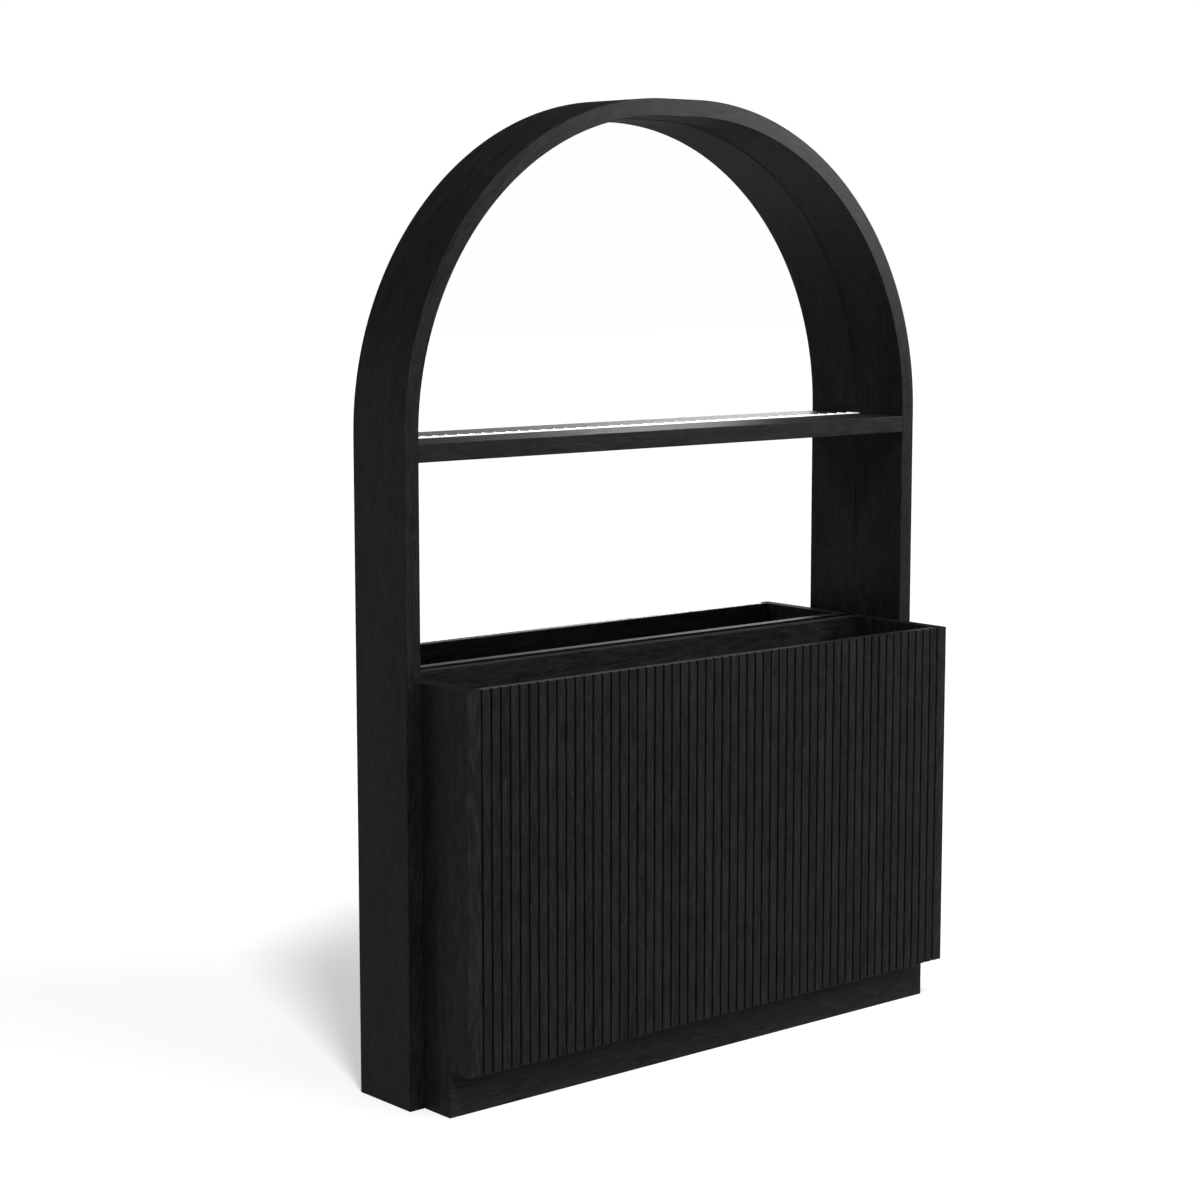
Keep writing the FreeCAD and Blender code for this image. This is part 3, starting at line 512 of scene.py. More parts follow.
def silvered_glass(name):
    """Mirror with the faintest haze."""
    material, sheet, shader, place = new_finish(name)
    haze = sheet.noise(place, *MIRROR_HAZE)
    sheet.fill(shader, {
        "Base Color": sheet.mixed(haze, (0.984, 0.988, 0.987, 1.0), (0.992, 0.994, 0.993, 1.0)),
        "Roughness": sheet.spread(haze, *MIRROR_BAND, *MIRROR_ROUGH_RANGE), "Metallic": 1.0})
    return material


def drawn_metal(name, low, high, rough):
    """Metal with fine drawn lines and a little staining."""
    material, sheet, shader, place = new_finish(name)
    lines = sheet.group(DRAWN_METAL, {"Vector": place})
    tone = sheet.scaled(lines["Stain"], 0.5, sheet.sum("MULTIPLY", lines["Line"], 0.5))
    sheet.fill(shader, {"Base Color": sheet.mixed(tone, low, high), "Metallic": 1.0,
                        "Roughness": sheet.scaled(lines["Line"], DRAWN_ROUGH, rough)})
    raise_surface(sheet, shader, lines["Line"], *DRAWN_RELIEF)
    return material


def moulded_plastic(name, low, high, rough, grain=PLASTIC_GRAIN, gloss=PLASTIC_GLOSS):
    """Moulded plastic, or sprayed metal, with its fine surface and soft edges."""
    material, sheet, shader, place = new_finish(name)
    speckle = sheet.group(MOULDED_SPECKLE, {"Vector": place, "Scale": grain})
    sheet.fill(shader, {"Base Color": sheet.mixed(speckle["Cloud"], low, high), "Specular IOR Level": gloss,
                        "Roughness": sheet.scaled(speckle["Mask"], PLASTIC_ROUGH, rough)})
    soft = sheet.add("ShaderNodeBevel", {"Radius": SOFT_EDGE}, samples=BEVEL_SAMPLES).outputs[0]
    raise_surface(sheet, shader, speckle["Mask"], *PLASTIC_RELIEF, normal=soft)
    return material


def lit_plastic(name, strength, dim, bright, body):
    """Milky plastic lit from inside, brighter over each lamp along X."""
    material, sheet, shader, place = new_finish(name)
    phase = sheet.sum("MULTIPLY", sheet.split(place)["X"], 2 * math.pi / LENS_PITCH)
    beat = sheet.scaled(sheet.sum("COSINE", phase), 0.5, 0.5)
    haze = sheet.noise(place, *LENS_HAZE)
    glow = sheet.scaled(haze, LENS_CLOUD, sheet.sum("MULTIPLY", beat, LENS_BEAT))
    sheet.fill(shader, {
        "Emission Color": sheet.mixed(glow, dim, bright), "Emission Strength": strength,
        "Base Color": sheet.mixed(haze, tinted(body, LENS_DULL_TINT), tinted(body, LENS_TINT)),
        "Roughness": sheet.scaled(haze, *LENS_ROUGH)})
    return material


arch_stain = stained_wood("arch_stain", "arch", light=0.0178, matt=0.4, relief=0.14)
side_stain = stained_wood("side_stain", "Z", (0.31, 0.17, 0.4), matt=0.62)
shelf_stain = stained_wood("shelf_stain", "X", (0.2, 0.4, 0.1), light=0.017, matt=0.385)
level_stain = stained_wood("level_stain", "X", (0.9, 0.3, 0.6))
# Back panel: the level boards' stain made darker as painted shade, for the shadow inside the trough
rail_stain_painted_shade = stained_wood("rail_stain_painted_shade", "X", (0.5, 0.9, 0.3), dark=0.0025, light=0.0155)
# Kickboard: the level boards' stain made lighter as painted light, to lift the shade under the overhang
kick_stain_painted_light = stained_wood("kick_stain_painted_light", "X", (0.4, 0.7, 0.9), dark=0.0058, light=0.0225)
upright_panel_stain = stained_wood("upright_panel_stain", "Z", (0.7, 0.5, 0.2), matt=0.15, end_stain=0.0)
slat_stain = stained_wood("slat_stain", "Z", (0.1, 0.6, 0.3), light=0.0182, figure=0.16, board="board",
                          matt=0.1, end_stain=0.0)
back_paint = painted_board("back_paint")
beech = bare_beech("beech")
mirror_silver = silvered_glass("mirror_silver")
channel_metal = drawn_metal("channel_metal", (0.55, 0.55, 0.56, 1.0), (0.8, 0.8, 0.81, 1.0), rough=0.3)
# Hinge steel: a black finish, also made as dark as the shade in the slat grooves so the hinges pass for
# painted shade there
black_steel = moulded_plastic("black_steel", (0.0025, 0.0025, 0.0026, 1.0), (0.006, 0.006, 0.0062, 1.0),
                              rough=0.6, grain=1200.0, gloss=0.01)
zinc_steel = drawn_metal("zinc_steel", (0.27, 0.27, 0.265, 1.0), (0.46, 0.46, 0.45, 1.0), rough=0.34)
case_plastic = moulded_plastic("case_plastic", (0.018, 0.018, 0.019, 1.0), (0.034, 0.034, 0.036, 1.0),
                               rough=0.45)
lead_jacket = moulded_plastic("lead_jacket", (0.012, 0.012, 0.012, 1.0), (0.024, 0.024, 0.025, 1.0),
                              rough=0.5, grain=500.0)
rocker_gloss = moulded_plastic("rocker_gloss", (0.012, 0.012, 0.013, 1.0), (0.024, 0.024, 0.025, 1.0),
                               rough=0.18, grain=1500.0)
plunger_grey = moulded_plastic("plunger_grey", (0.32, 0.32, 0.33, 1.0), (0.5, 0.5, 0.51, 1.0), rough=0.35)
tape_glow = lit_plastic("tape_glow", 0.6, (0.95, 0.89, 0.77, 1.0), (1.0, 0.95, 0.84, 1.0), body=0.4)
lens_glow = lit_plastic("lens_glow", 1.6, (1.0, 0.94, 0.82, 1.0), (1.0, 0.97, 0.89, 1.0), body=0.9)


def each_door(part):
    """Names of a part that each door has."""
    return [door + "_" + part for door in SLATS]


NODE_FINISHES = {
    arch_stain: ["left_upright", "right_upright", "left_arch_quarter", "right_arch_quarter"],
    side_stain: ["base_left_side", "base_right_side"],
    shelf_stain: ["display_shelf"],
    level_stain: ["counter_board", "trough_lip", "base_deck", *each_door("cupboard_shelf")],
    rail_stain_painted_shade: ["base_back_panel"],
    kick_stain_painted_light: ["kickboard"],
    upright_panel_stain: ["left_divider", "right_divider", *each_door("door_panel")],
    slat_stain: each_door("door_slats"),
    back_paint: ["backing_board", "mirror_ledge_rail", "rear_stretcher"],
    beech: ["arch_dowels", "shelf_dowels", "rail_dowels", "kickboard_blocks", "counter_bearers"],
    mirror_silver: ["mirror"],
    channel_metal: ["light_channel"],
    tape_glow: ["light_tape"],
    lens_glow: ["light_lenses"],
    lead_jacket: ["light_lead", "switch_lead"],
    case_plastic: ["light_driver", "mains_inlet", "switch_housing", "latch_housings"],
    rocker_gloss: ["switch_rocker"],
    plunger_grey: each_door("latch_plunger"),
    black_steel: ["hinge_frame_leaves", "hinge_pins", *each_door("hinge_leaves"), *each_door("strike_plate")],
    zinc_steel: ["backing_screws", "lip_screws", "frame_bolts", "cupboard_shelf_pins"],
}
for finish, nodes in NODE_FINISHES.items():
    for node in nodes:
        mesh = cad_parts[node].data
        mesh.materials.clear()
        mesh.materials.append(finish)


# Repeating pieces, each made by a tree with its sizes as named inputs


def geometry_tree(name, *sizes, **others):
    """Empty geometry tree with named inputs: its sizes, and others of their own kinds."""
    tree = bpy.data.node_groups.new(name, "GeometryNodeTree")
    kinds = {"Geometry": GEOMETRY, **dict.fromkeys(sizes, FLOAT), **others, "Finish": MATERIAL}
    sockets = {label: tree.interface.new_socket(label, in_out="INPUT", socket_type=kind).identifier
               for label, kind in kinds.items()}
    tree.interface.new_socket("Geometry", in_out="OUTPUT", socket_type=GEOMETRY)
    sheet = Sheet(tree)
    return sheet, sheet.add("NodeGroupInput").outputs, sockets


def finish_tree(sheet, given, sockets, geometry):
    """Tree that realizes its copies and gives them their material, with its sockets."""
    real = sheet.add("GeometryNodeRealizeInstances", {"Geometry": geometry}).outputs[0]
    painted = sheet.add("GeometryNodeSetMaterial", {"Geometry": real, "Material": given["Finish"]}).outputs[0]
    sheet.feed(sheet.add("NodeGroupOutput").inputs[0], painted)
    return sheet.tree, sockets


def placed(name, data):
    """New object in the scene."""
    thing = bpy.data.objects.new(name, data)
    scene.collection.objects.link(thing)
    return thing


def grown(name, recipe, values, points=None):
    """Plain mesh object that a geometry tree gives, with its modifier gone."""
    tree, sockets = recipe
    start = bpy.data.meshes.new(name + "_start")
    start.from_pydata(points or [], [], [])
    maker = placed(name + "_maker", start)
    modifier = maker.modifiers.new("tree", "NODES")
    modifier.node_group = tree
    for label, value in values.items():
        modifier[sockets[label]] = value
    graph = bpy.context.evaluated_depsgraph_get()
    mesh = bpy.data.meshes.new_from_object(maker.evaluated_get(graph))
    maker.modifiers.remove(modifier)
    bpy.data.objects.remove(maker)
    mesh.name = name
    return placed(name, mesh)


def position(sheet):
    """Place of each point."""
    return sheet.add("GeometryNodeInputPosition").outputs[0]


def moved(sheet, mesh, place, chosen=True):
    """Mesh with its chosen points at a place."""
    return sheet.add("GeometryNodeSetPosition", {
        "Geometry": mesh, "Position": place, "Selection": chosen}).outputs[0]


def drawn_up(sheet, mesh, rise, chosen=True):
    """Mesh with its chosen faces drawn upwards, and the faces on top."""
    node = sheet.add("GeometryNodeExtrudeMesh", {
        "Mesh": mesh, "Selection": chosen, "Offset": sheet.joined(0.0, 0.0, 1.0), "Offset Scale": rise,
        "Individual": False}, mode="FACES")
    return node.outputs["Mesh"], node.outputs["Top"]


def merged(sheet, mesh):
    """Mesh with its doubled points merged."""
    return sheet.add("GeometryNodeMergeByDistance", {"Geometry": mesh, "Distance": MERGE_REACH}).outputs[0]


def row_along_x(sheet, given, start, solid):
    """Copies of a solid in a row along X."""
    row = sheet.add("GeometryNodeMeshLine", {
        "Count": given["Count"], "Start Location": start,
        "Offset": sheet.joined(given["Pitch"], 0.0, 0.0)}, mode="OFFSET").outputs[0]
    return sheet.add("GeometryNodeInstanceOnPoints", {"Points": row, "Instance": solid}).outputs[0]


def fluted_slats_tree():
    """Row of upright slats with rounded front edges and eased ends, each marked as its own board."""
    sheet, given, sockets = geometry_tree(
        "fluted_slats", "Pitch", "First X", "Front Y", "Bottom Z", "Width", "Depth", "Height", "Edge",
        "End Ease", Count=COUNT, Seed=COUNT)
    place = position(sheet)
    plan = sheet.add("GeometryNodeCurvePrimitiveQuadrilateral", {
        "Width": given["Width"], "Height": given["Depth"]}).outputs[0]
    front = sheet.sum("LESS_THAN", sheet.split(place)["Y"], 0.0)
    rounded = sheet.add("GeometryNodeFilletCurve", {
        "Curve": plan, "Count": SLAT_EDGE_STEPS, "Radius": sheet.sum("MULTIPLY", front, given["Edge"])},
        mode="POLY").outputs[0]
    face = merged(sheet, sheet.add("GeometryNodeFillCurve", {"Curve": rounded}, mode="NGONS").outputs[0])
    ease_twice = sheet.sum("MULTIPLY", given["End Ease"], 2.0)
    narrow = sheet.joined(*(sheet.sum("SUBTRACT", 1.0, sheet.sum("DIVIDE", ease_twice, given[side]))
                            for side in ("Width", "Depth")), 1.0)
    drawn_in = sheet.vectors("MULTIPLY", place, narrow)["Vector"]
    let_out = sheet.vectors("DIVIDE", place, narrow)["Vector"]
    bottom = moved(sheet, face, drawn_in)
    foot = sheet.add("GeometryNodeFlipFaces", {"Mesh": bottom}).outputs[0]
    body, top = drawn_up(sheet, bottom, given["End Ease"])
    body = moved(sheet, body, let_out, top)
    body, top = drawn_up(sheet, body, sheet.sum("SUBTRACT", given["Height"], ease_twice), top)
    body, top = drawn_up(sheet, body, given["End Ease"], top)
    body = moved(sheet, body, drawn_in, top)
    whole = sheet.add("GeometryNodeJoinGeometry")
    sheet.feed(whole.inputs[0], body)
    sheet.feed(whole.inputs[0], foot)
    start = sheet.joined(sheet.scaled(given["Width"], 0.5, given["First X"]),
                         sheet.scaled(given["Depth"], 0.5, given["Front Y"]), given["Bottom Z"])
    row = row_along_x(sheet, given, start, merged(sheet, whole.outputs[0]))
    number = sheet.add("FunctionNodeRandomValue", {"Seed": given["Seed"]}, data_type="FLOAT").outputs[1]
    marked = sheet.add("GeometryNodeStoreNamedAttribute", {
        "Geometry": row, "Name": "board", "Value": number}, data_type="FLOAT", domain="INSTANCE").outputs[0]
    return finish_tree(sheet, given, sockets, marked)


def lens_row_tree():
    """Row of small domed lenses with flat undersides."""
    sheet, given, sockets = geometry_tree("lens_row", "Pitch", "First X", "Y", "Z", "Radius", "Height",
                                          Count=COUNT)
    ball = sheet.add("GeometryNodeMeshUVSphere", {
        "Segments": LENS_SEGMENTS, "Rings": LENS_RINGS, "Radius": 1.0}).outputs[0]
    x, y, z = sheet.split(position(sheet))
    level = sheet.sum("MULTIPLY", sheet.sum("MAXIMUM", z, 0.0), given["Height"])
    dome = moved(sheet, ball, sheet.joined(sheet.sum("MULTIPLY", x, given["Radius"]),
                                           sheet.sum("MULTIPLY", y, given["Radius"]), level))
    start = sheet.joined(given["First X"], given["Y"], given["Z"])
    return finish_tree(sheet, given, sockets, row_along_x(sheet, given, start, dome))


def turned(sheet, steps, sides):
    """Closed solid turned about Z, from its steps of height and radius."""
    index = sheet.add("GeometryNodeInputIndex").outputs[0]

    def by_step(values):
        """Value that changes from step to step."""
        pick = sheet.add("GeometryNodeIndexSwitch", {"Index": index}, data_type="FLOAT")
        while len(pick.index_switch_items) < len(values):
            pick.index_switch_items.new()
        sheet.fill(pick, dict(enumerate(values, 1)))
        return pick.outputs[0]

    rail = sheet.add("GeometryNodeMeshLine", {"Count": len(steps)}, mode="OFFSET").outputs[0]
    rail = sheet.add("GeometryNodeMeshToCurve", {"Mesh": rail}).outputs[0]
    rail = moved(sheet, rail, sheet.joined(0.0, 0.0, by_step([height for height, _ in steps])))
    ring = sheet.add("GeometryNodeCurvePrimitiveCircle", {"Resolution": sides, "Radius": 1.0}).outputs[0]
    solid = sheet.add("GeometryNodeCurveToMesh", {
        "Curve": rail, "Profile Curve": ring, "Fill Caps": True,
        "Scale": by_step([radius for _, radius in steps])}).outputs[0]
    return merged(sheet, solid)


def minus(sheet, value):
    """Value with its sign turned."""
    return sheet.sum("MULTIPLY", value, -1.0)


def cut_from(sheet, solid, *cutters):
    """Solid less its cutters."""
    node = sheet.add("GeometryNodeMeshBoolean", {"Mesh 1": solid}, operation="DIFFERENCE", solver="EXACT")
    for cutter in cutters:
        sheet.feed(node.inputs["Mesh 2"], cutter)
    return node.outputs[0]


def set_on_points(sheet, points, solid, turn):
    """Copies of a solid on points, turned by Euler angles."""
    rotation = sheet.add("FunctionNodeEulerToRotation", {"Euler": turn}).outputs[0]
    return sheet.add("GeometryNodeInstanceOnPoints", {
        "Points": points, "Instance": solid, "Rotation": rotation}).outputs[0]


def side_of_middle(sheet):
    """Minus one at points left of the middle, one at points right of it."""
    return sheet.sum("SIGN", sheet.split(position(sheet))["X"])


def cross_screws_tree():
    """Countersunk screws with cross recesses, heads at the points, each turned as it was driven."""
    sheet, given, sockets = geometry_tree(
        "cross_screws", "Head", "Head Depth", "Shank", "Length", "Tip", "Cross Span", "Cross Width",
        "Cross Depth", "Lean", "Swing", Seed=COUNT)
    neck = minus(sheet, sheet.sum("SUBTRACT", given["Length"], given["Tip"]))
    screw = turned(sheet, [(0.0, given["Head"]), (minus(sheet, given["Head Depth"]), given["Shank"]),
                           (neck, given["Shank"]), (minus(sheet, given["Length"]), POINT)], SCREW_SIDES)
    deep = sheet.sum("MULTIPLY", given["Cross Depth"], 2.0)
    bars = [sheet.add("GeometryNodeMeshCube", {"Size": sheet.joined(width, length, deep)}).outputs[0]
            for width, length in ((given["Cross Span"], given["Cross Width"]),
                                  (given["Cross Width"], given["Cross Span"]))]
    screw = cut_from(sheet, screw, *bars)
    spin = sheet.add("FunctionNodeRandomValue", {"Seed": given["Seed"]}, data_type="FLOAT").outputs[1]
    swing = sheet.sum("MULTIPLY", side_of_middle(sheet), given["Swing"])
    turn = sheet.joined(given["Lean"], sheet.sum("MULTIPLY", spin, math.pi), swing)
    return finish_tree(sheet, given, sockets, set_on_points(sheet, given["Geometry"], screw, turn))


def socket_bolts_tree():
    """Flat-headed bolts with hexagon sockets, their heads towards the middle of the cabinet."""
    sheet, given, sockets = geometry_tree("socket_bolts", "Head", "Head Depth", "Chamfer", "Shank", "Length",
                                          "Socket", "Socket Depth")
    under = minus(sheet, given["Head Depth"])
    bolt = turned(sheet, [(0.0, sheet.sum("SUBTRACT", given["Head"], given["Chamfer"])),
                          (minus(sheet, given["Chamfer"]), given["Head"]), (under, given["Head"]),
                          (sheet.sum("SUBTRACT", under, HEAD_STEP), given["Shank"]),
                          (minus(sheet, given["Length"]), given["Shank"])], BOLT_SIDES)
    hexagon = sheet.add("GeometryNodeMeshCylinder", {
        "Vertices": 6, "Radius": given["Socket"], "Depth": sheet.sum("MULTIPLY", given["Socket Depth"], 2.0)})
    bolt = cut_from(sheet, bolt, hexagon.outputs["Mesh"])
    turn = sheet.joined(0.0, sheet.sum("MULTIPLY", side_of_middle(sheet), -math.pi / 2), 0.0)
    return finish_tree(sheet, given, sockets, set_on_points(sheet, given["Geometry"], bolt, turn))


def domed_rods_tree():
    """Rods with domed ends, starting at the points."""
    sheet, given, sockets = geometry_tree("domed_rods", "Length", "Radius", Turn=VECTOR)
    steps = [(0.0, POINT)]
    for share in DOME_SHARES:
        steps.append((sheet.sum("MULTIPLY", given["Radius"], 1.0 - math.sqrt(1.0 - share * share)),
                      sheet.sum("MULTIPLY", given["Radius"], share)))
    steps.append((given["Radius"], given["Radius"]))
    far = [(sheet.sum("SUBTRACT", given["Length"], height), radius) for height, radius in reversed(steps)]
    rod = turned(sheet, steps + far, ROD_SIDES)
    return finish_tree(sheet, given, sockets, set_on_points(sheet, given["Geometry"], rod, given["Turn"]))


def welded(node):
    """Copy of a node's mesh to work on, with its doubled points merged."""
    shape = bmesh.new()
    shape.from_mesh(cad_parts[node].data)
    bmesh.ops.remove_doubles(shape, verts=shape.verts, dist=MERGE_REACH)
    return shape


def solids_of(node):
    """Points of each separate solid in a node."""
    shape = welded(node)
    left = set(shape.verts)
    solids = []
    for start in list(shape.verts):
        if start not in left:
            continue
        left.discard(start)
        reached = [start]
        for vert in reached:
            for edge in vert.link_edges:
                other = edge.other_vert(vert)
                if other in left:
                    left.discard(other)
                    reached.append(other)
        solids.append([vert.co.copy() for vert in reached])
    shape.free()
    return solids


def corners(points):
    """Lowest and highest corners of points."""
    return (Vector(min(point[axis] for point in points) for axis in range(3)),
            Vector(max(point[axis] for point in points) for axis in range(3)))


def stand_for(piece, body, slot, *nodes):
    """Piece joined to its body, in place of its solids. The slot is not used."""
    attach(piece, body)
    if nodes:
        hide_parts(*nodes)


def on_joint(edge):
    """Whether an edge lies in a flush joint of the arch frame."""
    return any(all(abs(vert.co[axis] - level) < FLUSH_REACH for vert in edge.verts)
               for axis, level in ((2, SPRINGING), (0, 0.0)))


def on_end(edge):
    """Whether an edge borders an end that butts against its neighbour."""
    return any(abs(face.normal.x) > END_FACING for face in edge.link_faces)


def eased(name, node, body, slot, width=BOARD_EASE, shortest=BOARD_EDGE, sharp=None):
    """Copy of a node in its own finish with its open edges eased, in the node's place."""
    shape = welded(node)
    bmesh.ops.dissolve_limit(shape, angle_limit=FLAT_ANGLE, verts=shape.verts, edges=shape.edges)
    edges = [edge for edge in shape.edges
             if edge.is_convex and edge.calc_face_angle(0.0) > SHARP_ANGLE and edge.calc_length() > shortest
             and not (sharp and sharp(edge))]
    bmesh.ops.bevel(shape, geom=edges, offset=width, offset_type="OFFSET", segments=EASE_STEPS, profile=0.5,
                    affect="EDGES", clamp_overlap=True)
    bmesh.ops.dissolve_degenerate(shape, edges=shape.edges, dist=SLIVER_REACH)
    mesh = bpy.data.meshes.new(name)
    shape.to_mesh(mesh)
    shape.free()
    mesh.materials.append(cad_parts[node].data.materials[0])
    mesh.shade_smooth()
    mesh.set_sharp_from_angle(angle=SMOOTH_ANGLE)
    stand_for(placed(name, mesh), body, slot, node)


FIXED = "frame_and_cabinet"

# Fluted fronts of the three doors
FLUTED_SLATS = fluted_slats_tree()
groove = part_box("left_door_slats")[0].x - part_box("base_left_side")[1].x
for door, count in SLATS.items():
    node = door + "_door_slats"
    low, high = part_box(node)
    pitch = (high.x - low.x + groove) / count
    slats = grown(door + "_fluting", FLUTED_SLATS, {
        "Count": count, "Pitch": pitch, "First X": low.x, "Front Y": low.y, "Bottom Z": low.z,
        "Width": pitch - groove, "Depth": high.y - low.y, "Height": high.z - low.z, "Edge": SLAT_EDGE,
        "End Ease": SLAT_END_EASE, "Seed": SLAT_SEED + count + len(door), "Finish": slat_stain})
    stand_for(slats, door + "_door", "slat_wood", node)

# Light line
low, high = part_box("light_lenses")
lenses = grown("light_domes", lens_row_tree(), {
    "Count": LENS_COUNT, "Pitch": LENS_PITCH, "First X": -(LENS_COUNT - 1) * LENS_PITCH / 2,
    "Y": (low.y + high.y) / 2, "Z": low.z, "Radius": LENS_RADIUS, "Height": LENS_HEIGHT, "Finish": lens_glow})
stand_for(lenses, FIXED, "light_glow", "light_lenses")

# Boards with eased edges, and which of their edges stay sharp
BOARDS = {
    "frame_wood": [
        ("left_upright_board", "left_upright", on_joint), ("right_upright_board", "right_upright", on_joint),
        ("left_arch_board", "left_arch_quarter", on_joint),
        ("right_arch_board", "right_arch_quarter", on_joint),
        ("display_shelf_board", "display_shelf", on_end)],
    "cabinet_wood": [
        ("left_side_board", "base_left_side", None), ("right_side_board", "base_right_side", None),
        ("kickboard_board", "kickboard", None), ("lip_board", "trough_lip", on_end),
        ("back_panel_board", "base_back_panel", on_end), ("counter_top_board", "counter_board", on_end),
        ("deck_board", "base_deck", on_end), ("left_divider_board", "left_divider", None),
        ("right_divider_board", "right_divider", None)],
    "back_board": [
        ("backing_panel", "backing_board", None), ("ledge_board", "mirror_ledge_rail", None),
        ("stretcher_board", "rear_stretcher", None)],
}
for slot, boards in BOARDS.items():
    for name, node, sharp in boards:
        eased(name, node, FIXED, slot, sharp=sharp)
for door in SLATS:
    eased(door + "_shelf_board", door + "_cupboard_shelf", FIXED, "cabinet_wood")
    eased(door + "_door_board", door + "_door_panel", door + "_door", "cabinet_wood")

# Screws and bolts
CROSS_SCREWS = cross_screws_tree()
SCREW_SIZES = {
    "Head": SCREW_HEAD, "Head Depth": SCREW_HEAD_DEPTH, "Shank": SCREW_SHANK, "Length": SCREW_LENGTH,
    "Tip": SCREW_TIP, "Cross Span": CROSS_SPAN, "Cross Width": CROSS_WIDTH, "Cross Depth": CROSS_DEPTH}
HINGE_SCREW_SIZES = {label: HINGE_SCREW_SHARE * size for label, size in SCREW_SIZES.items()}
HINGE_SCREW_SIZES["Length"] = HINGE_SCREW_LENGTH


def driven_screws(name, heads, sizes, lean, swing=0.0):
    """Screws with their heads at places."""
    return grown(name, CROSS_SCREWS, {
        **sizes, "Lean": lean, "Swing": swing, "Seed": SCREW_SEED, "Finish": zinc_steel}, heads)


def hinge_screws(name, node, body, inward):
    """Two screws in each hinge leaf of a node, their heads towards the middle or away from it."""
    heads = []
    for points in solids_of(node):
        low, high = corners(points)
        plate_left, plate_right = corners([point for point in points if point.y > high.y - FLUSH_REACH])
        to_right = (low.x < 0.0) == inward
        face = plate_right.x + HINGE_HEAD_PROUD if to_right else plate_left.x - HINGE_HEAD_PROUD
        level = (low.z + high.z) / 2
        heads += [(face, high.y - HINGE_SCREW_INSET, level + side * HINGE_SCREW_SPACING / 2)
                  for side in (-1, 1)]
    swing = math.pi / 2 if inward else -math.pi / 2
    stand_for(driven_screws(name, heads, HINGE_SCREW_SIZES, -math.pi / 2, swing), body, "zinc_steel")


for node, outward in (("backing_screws", 1), ("lip_screws", -1)):
    heads = [((low.x + high.x) / 2, high.y if outward > 0 else low.y, (low.z + high.z) / 2)
             for low, high in map(corners, solids_of(node))]
    screws = driven_screws(node + "_driven", heads, SCREW_SIZES, -outward * math.pi / 2)
    stand_for(screws, FIXED, "zinc_steel", node)
hinge_screws("hinge_frame_screws", "hinge_frame_leaves", FIXED, True)
for door in SLATS:
    hinge_screws(door + "_hinge_screws", door + "_hinge_leaves", door + "_door", False)
bolt_boxes = [corners(points) for points in solids_of("frame_bolts")]
heads = [(high.x if high.x < 0.0 else low.x, (low.y + high.y) / 2, (low.z + high.z) / 2)
         for low, high in bolt_boxes]
bolts = grown("frame_bolts_driven", socket_bolts_tree(), {
    "Head": BOLT_HEAD, "Head Depth": BOLT_HEAD_DEPTH, "Chamfer": BOLT_CHAMFER, "Shank": BOLT_SHANK,
    "Length": min(high.x - low.x for low, high in bolt_boxes), "Socket": BOLT_SOCKET,
    "Socket Depth": BOLT_SOCKET_DEPTH, "Finish": zinc_steel}, heads)
stand_for(bolts, FIXED, "zinc_steel", "frame_bolts")

# Driver, inlet, switch and latches
DOMED_RODS = domed_rods_tree()
eased("driver_case", "light_driver", FIXED, "black_plastic", CASE_EASE, CASE_EDGE)
low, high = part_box("light_driver")
rib_start = low.z + (DRIVER_CASE_HEIGHT - (RIB_COUNT - 1) * RIB_PITCH) / 2
ribs = grown("driver_ribs", DOMED_RODS, {
    "Length": high.x - low.x - 2 * RIB_MARGIN, "Radius": RIB_RADIUS, "Turn": (0.0, math.pi / 2, 0.0),
    "Finish": case_plastic},
    [(low.x + RIB_MARGIN, high.y, rib_start + step * RIB_PITCH) for step in range(RIB_COUNT)])
stand_for(ribs, FIXED, "black_plastic")
low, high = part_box("mains_inlet")
middle = (low + high) / 2
pins = grown("inlet_pins", DOMED_RODS, {
    "Length": PIN_LENGTH, "Radius": PIN_RADIUS, "Turn": (math.pi, 0.0, 0.0), "Finish": zinc_steel},
    [(middle.x + side * PIN_SPACING / 2, middle.y, high.z - INLET_ROOF) for side in (-1, 1)])
stand_for(pins, FIXED, "zinc_steel")
eased("inlet_shell", "mains_inlet", FIXED, "black_plastic", SHELL_EASE, SHELL_EDGE)
eased("switch_body", "switch_housing", FIXED, "black_plastic", SHELL_EASE, SHELL_EDGE)
eased("rocker_cap", "switch_rocker", "switch_rocker", "rocker_plastic", ROCKER_EASE, SHELL_EDGE)
eased("latch_cases", "latch_housings", FIXED, "black_plastic", LATCH_EASE)
for door in SLATS:
    eased(door + "_plunger_rod", door + "_latch_plunger", door + "_plunger", "plunger_plastic",
          PLUNGER_EASE, PLUNGER_EDGE)

# Floor and surroundings


def looks(sheet):
    """Light path, and a mask of the rays that look straight, by reflection or through glass."""
    path = sheet.add("ShaderNodeLightPath").outputs
    mask = sheet.sum("MAXIMUM", path["Is Camera Ray"], path["Is Glossy Ray"])
    return path, sheet.sum("MAXIMUM", mask, path["Is Transmission Ray"])


def show(sheet, end, mask, plain, looked_at):
    """Give one shader to the rays that look, and a plain one to the others."""
    pick = sheet.add("ShaderNodeMixShader", {"Fac": mask, 1: plain, 2: looked_at})
    sheet.add(end, {"Surface": pick.outputs[0]})


def stage_white(name):
    """White floor that keeps the shadow: part of its white is its own, part comes from the lamps."""
    material = bpy.data.materials.new(name)
    material.use_nodes = True
    material.node_tree.nodes.clear()
    sheet = Sheet(material.node_tree)
    lit = sheet.add("ShaderNodeBsdfDiffuse", {"Color": tinted(FLOOR_LIT)}).outputs[0]
    own = sheet.add("ShaderNodeEmission", {"Color": tinted(FLOOR_OWN)}).outputs[0]
    both = sheet.add("ShaderNodeAddShader", {0: lit, 1: own}).outputs[0]
    plain = sheet.add("ShaderNodeBsdfDiffuse", {"Color": tinted(FLOOR_BOUNCE)}).outputs[0]
    show(sheet, "ShaderNodeOutputMaterial", looks(sheet)[1], plain, both)
    return material


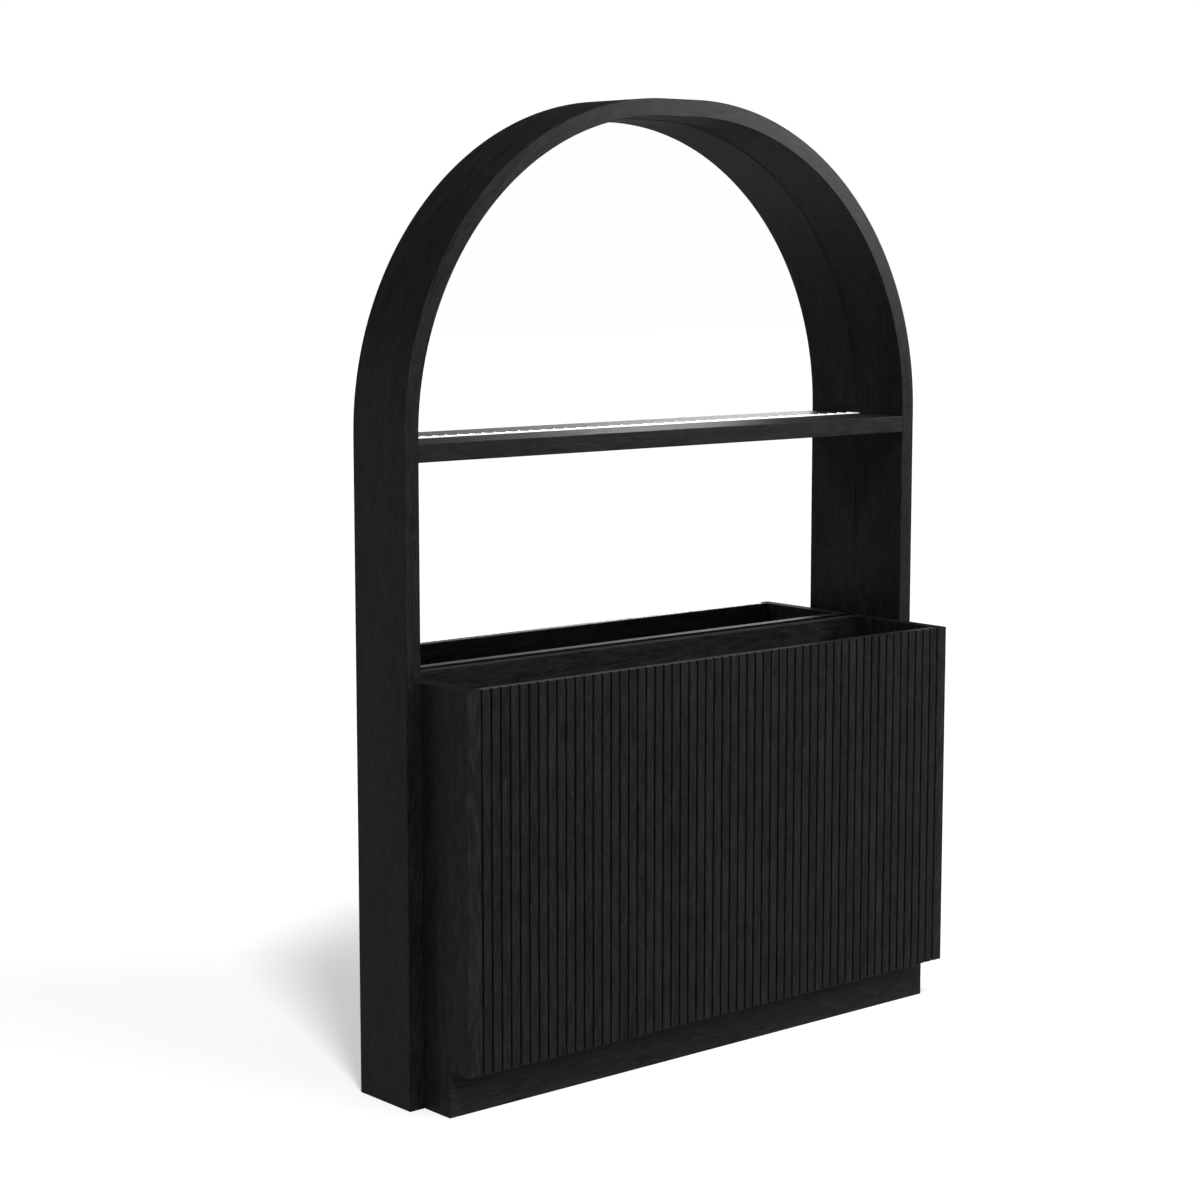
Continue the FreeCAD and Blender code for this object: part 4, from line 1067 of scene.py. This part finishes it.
floor_mesh = bpy.data.meshes.new("floor")
floor_mesh.from_pydata([(-FLOOR_REACH, -FLOOR_REACH, 0.0), (FLOOR_REACH, -FLOOR_REACH, 0.0),
                        (FLOOR_REACH, FLOOR_REACH, 0.0), (-FLOOR_REACH, FLOOR_REACH, 0.0)],
                       [], [(0, 1, 2, 3)])
floor_mesh.materials.append(stage_white("floor_white"))
floor = placed("floor", floor_mesh)

# White all round, but dimmer high up for what the wood and metal reflect
world = bpy.data.worlds.new("surroundings")
scene.world = world
world.use_nodes = True
world.node_tree.nodes.clear()
sheet = Sheet(world.node_tree)
path, looking = looks(sheet)
ambient = sheet.add("ShaderNodeBackground", {"Color": WHITE, "Strength": AMBIENT}).outputs[0]
height = sheet.split(sheet.add("ShaderNodeTexCoord").outputs["Generated"])["Z"]
above = sheet.spread(height, *DIMMING_HEIGHT, 1.0, DIMMED)
level = sheet.sum("MAXIMUM", above, sheet.sum("SUBTRACT", 1.0, path["Is Glossy Ray"]))
white = sheet.add("ShaderNodeBackground", {"Color": WHITE, "Strength": level}).outputs[0]
show(sheet, "ShaderNodeOutputWorld", looking, ambient, white)


def aimed(name, lamp, place, aim):
    """Lamp at a place, turned to a point."""
    holder = placed(name, lamp)
    holder.location = place
    holder.rotation_euler = (Vector(aim) - Vector(place)).to_track_quat("-Z", "Y").to_euler()
    holder.visible_camera = False
    return holder


def softbox(name, place, aim, width, height, power, spread):
    """Soft rectangular lamp turned to a point, its light kept within an angle."""
    lamp = bpy.data.lights.new(name, "AREA")
    lamp.shape = "RECTANGLE"
    lamp.size = width
    lamp.size_y = height
    lamp.energy = power
    lamp.spread = math.radians(spread)
    return aimed(name, lamp, place, aim)


def far_lamp(name, place, strength, softness):
    """Even light from one side, with soft shadows."""
    lamp = bpy.data.lights.new(name, "SUN")
    lamp.energy = strength
    lamp.angle = math.radians(softness)
    return aimed(name, lamp, place, (0.0, 0.0, 0.0))


def single(name, thing, state):
    """Collection that takes one thing into a lamp's light, or out of it."""
    chosen = bpy.data.collections.new(name)
    chosen.objects.link(thing)
    chosen.collection_objects[0].light_linking.link_state = state
    return chosen


far_lamp("front_lamp", place=(-4.2, -9.1, 13.6), strength=2.5, softness=9.0)
far_lamp("right_lamp", place=(4.0, -9.0, 9.0), strength=1.0, softness=32.0)
back_box = softbox("back_box", place=(1.6, 4.6, 1.5), aim=(0.0, 0.165, 1.1), width=2.4, height=1.6,
                   power=60.0, spread=70.0)
back_box.light_linking.receiver_collection = single("off_floor", floor, "EXCLUDE")
crown_box = softbox("crown_box", place=(4.75, -3.85, 2.85), aim=(0.4, 0.0, 2.0), width=2.1, height=2.0,
                    power=51.0, spread=60.0)
crown_box.light_linking.receiver_collection = single("off_mirror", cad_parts["mirror"], "EXCLUDE")

# The crown lamp as the mirror throws it back onto the shelf
shelf_box = softbox("shelf_box", place=(4.75, 4.2, 2.85), aim=(-0.13, 0.05, 1.41), width=0.1, height=0.1,
                    power=0.32, spread=5.6)
shelf_only = single("shelf_only", bpy.data.objects["display_shelf_board"], "INCLUDE")
shelf_box.light_linking.receiver_collection = shelf_only
shelf_box.light_linking.blocker_collection = shelf_only

# Camera at the photograph's angle
eye = bpy.data.cameras.new("eye")
eye.sensor_width = CAMERA_SENSOR
eye.lens = CAMERA_LENS
eye.clip_end = CAMERA_REACH
camera = placed("eye", eye)
camera.location = CAMERA_PLACE
camera.rotation_euler = (math.pi / 2 - CAMERA_TILT, 0.0, -CAMERA_PAN)
scene.camera = camera
scene.view_settings.view_transform = "Standard"
